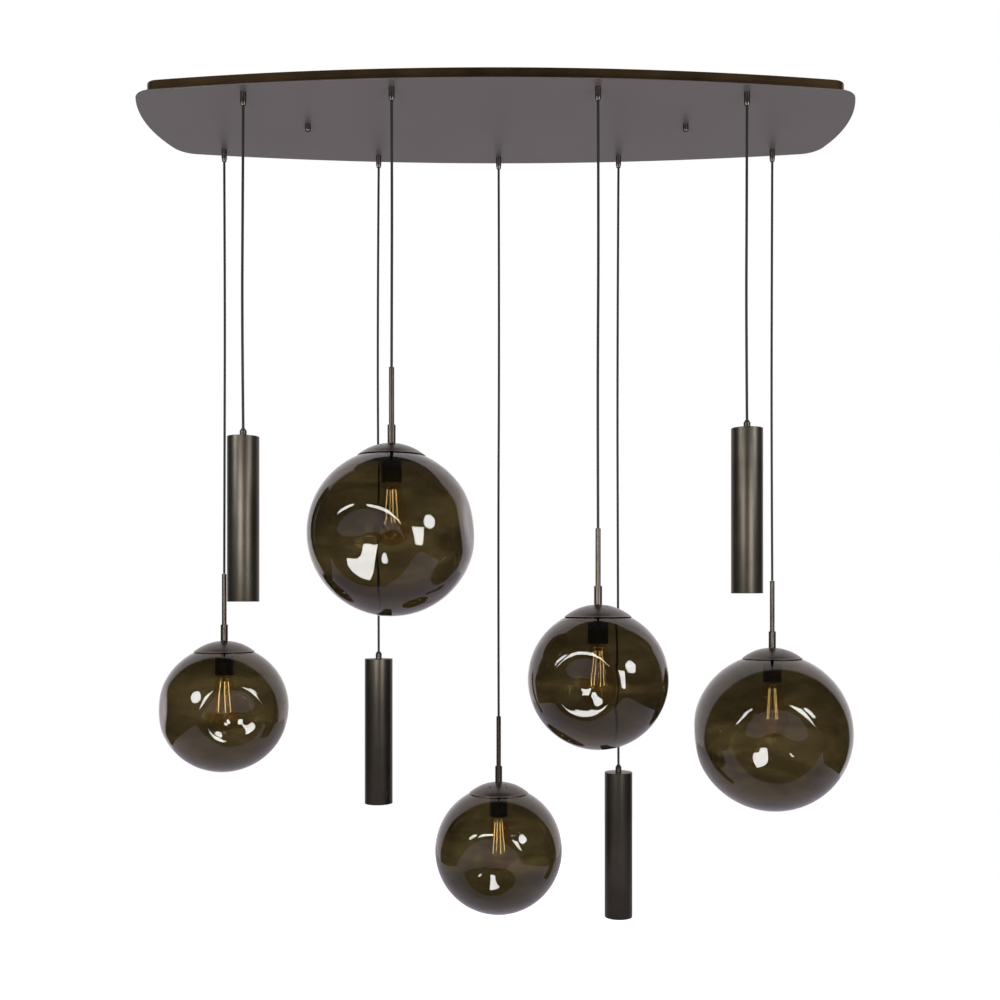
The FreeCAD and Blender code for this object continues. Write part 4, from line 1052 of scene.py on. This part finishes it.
def hang_globe_parts():
    """Copies of the shared models on each of the five globe pendants."""
    tube, lead = stem_models()
    sleeve, grub = collar_models()
    dome, screws = cap_models()
    holder = holder_model()
    base, bulb, mount = lamp_models()
    filament, arms = filament_models()
    for name in GLOBES:
        top = TILT[name] - Vector((0, 0, HANG_GAP))
        rim = top - Vector((0, 0, CAP_RIM_DROP))
        foot = rim - Vector((0, 0, HOLDER_FOOT))
        hang(name, (
            (tube, "stem_tube", top, STEM_BRONZE, "bronze_stem", "stem"),
            (lead, "stem_lead", top, CORD_BLACK, "cord_black", "stem"),
            (sleeve, "collar_sleeve", top, STEM_BRONZE, "bronze_stem", "collar"),
            (grub, "collar_screw", top, SCREW_BLACK, "bronze_stem", "collar"),
            (dome, "cap_dome", rim, CAP_BRONZE, "bronze_dark", "cap"),
            (screws, "cap_screws", rim, SCREW_BLACK, "bronze_dark", "cap"),
            (holder, "holder_shell", rim, HOLDER_BLACK, "holder_black", "lampholder"),
            (base, "lamp_base", foot, BASE_NICKEL, "bulb_glass", "bulb"),
            (bulb, "lamp_glass", foot, BULB_GLASS, "bulb_glass", "bulb"),
            (mount, "lamp_mount", foot, CLEAR_GLASS, "bulb_glass", "bulb"),
            (filament, "lamp_filament", foot, FILAMENT_PAINTED_GLOW, "bulb_glass", "bulb"),
            (arms, "lamp_arms", foot, BASE_NICKEL, "bulb_glass", "bulb")))
        inner = GLOBE_RADIUS[name] - GLASS_WALL
        middle = GLOBE_MIDDLE[name] - rim.z
        tip = middle + math.sqrt(inner ** 2 - SPRING_TIP ** 2) - SEAT_GAP
        spring = spring_plate(name, tip)
        spring.data.transform(Matrix.Translation(rim))
        dress(spring, CAP_BRONZE, f"{name}_shade", "bronze_dark", f"{name}_cap")
    throw_away(tube, lead, sleeve, grub, dome, screws, holder, base, bulb, mount, filament, arms)


hang_globe_parts()


# Tube pendants

def tube_models():
    """The tube's wall, and its grip with screw and nut, from the level of the tube's top face."""
    wall = turned("tube_model", (
        (4.9, 0), (27.7, 0), (28.2, -0.1), (28.5, -0.5), (28.5, -297.5), (28.35, -297.9),
        (28.1, -298), (27.3, -298), (27.0, -297.7), (27.0, -2), (4.9, -2)), sides=96)
    grip = turned("tube_grip_model", (
        (2.7, -8), (4.6, -8), (4.8, -7.8), (4.8, 0), (6.0, 0), (6.25, 0.25), (6.25, 10.6),
        (5.9, 11.2), (4.4, 12.8), (4.0, 13.4), (4.0, 14.7), (3.7, 15), (2.9, 15),
        (2.7, 14.8)), sides=40)
    nut = turned("tube_nut_model", (
        (4.9, -5), (7.7, -5), (8.0, -4.7), (8.0, -2.3), (7.7, -2), (4.9, -2)), sides=6)
    screw = side_screw("tube_screw_model", 3.6, 6.95)
    screw.data.transform(Matrix.Translation((0, 0, 5.5 * MM)))
    return smooth(wall, 30), smooth(grip, 30), smooth(nut, 30), screw


def reflector_models():
    """The reflector lamp and its fittings, up from the lamp's face."""
    body = turned("reflector_model", (
        (20.5, 2.2), (21.6, 0.4), (22.2, 0), (24.4, 0), (25.0, 0.5), (25.0, 5.6), (24.4, 6.4),
        (22.4, 14), (19.0, 26), (15.6, 38), (13.9, 45), (13.5, 48), (0.4, 48)), sides=64,
                  closed=False)
    lens = turned("reflector_lens_model", (
        (0.3, 0.9), (5.0, 0.95), (12.0, 1.2), (17.0, 1.6), (20.6, 2.2), (21.0, 2.6),
        (20.6, 3.0), (12.0, 3.1), (0.3, 3.1)), closed=False)
    holder = turned("reflector_holder_model", (
        (0.4, 48), (14.4, 48), (15.0, 48.5), (15.0, 62), (14.0, 64), (14.0, 69.6),
        (13.6, 70), (0.4, 70)), closed=False)
    carrier = turned("carrier_model", (
        (0.4, 70), (26.4, 70), (26.7, 70.3), (26.7, 71.2), (26.4, 71.5), (0.4, 71.5)), sides=64,
                     closed=False)
    return smooth(body, 40), smooth(lens, 40), smooth(holder, 30), smooth(carrier, 30)


def hang_tube_parts():
    """Copies of the shared models on each of the four tube pendants."""
    wall, grip, nut, screw = tube_models()
    body, lens, holder, carrier = reflector_models()
    lead = turned("tube_lead_model", (
        (0.4, 14.9), (2.2, 14.9), (2.4, 14.7), (2.4, -200.4), (0.4, -200.4)), sides=24,
                  closed=False)
    smooth(lead, 30)
    for name in TUBES:
        top = TILT[name] - Vector((0, 0, HANG_GAP + TUBE_GRIP_LENGTH))
        face = top - Vector((0, 0, TUBE_LENGTH - LAMP_RECESS))
        hang(name, (
            (wall, "tube_wall", top, TUBE_BRONZE, "bronze_tube", "housing"),
            (grip, "grip_body", top, GRIP_BRONZE, "bronze_dark", "grip"),
            (nut, "grip_nut", top, ZINC, "bronze_dark", "grip"),
            (screw, "grip_screw", top, SCREW_BLACK, "bronze_dark", "grip"),
            (body, "reflector", face, CERAMIC, "lamp_ceramic", "lamp"),
            (lens, "reflector_lens", face, CLEAR_GLASS, "lamp_ceramic", "lamp"),
            (holder, "reflector_holder", face, CERAMIC, "lamp_ceramic", "lamp"),
            (carrier, "carrier_disc", face, ZINC, "lamp_ceramic", "lamp"),
            (lead, "tube_lead", top, CORD_BLACK, "cord_black", "lamp")))
    throw_away(wall, grip, nut, screw, body, lens, holder, carrier, lead)


hang_tube_parts()
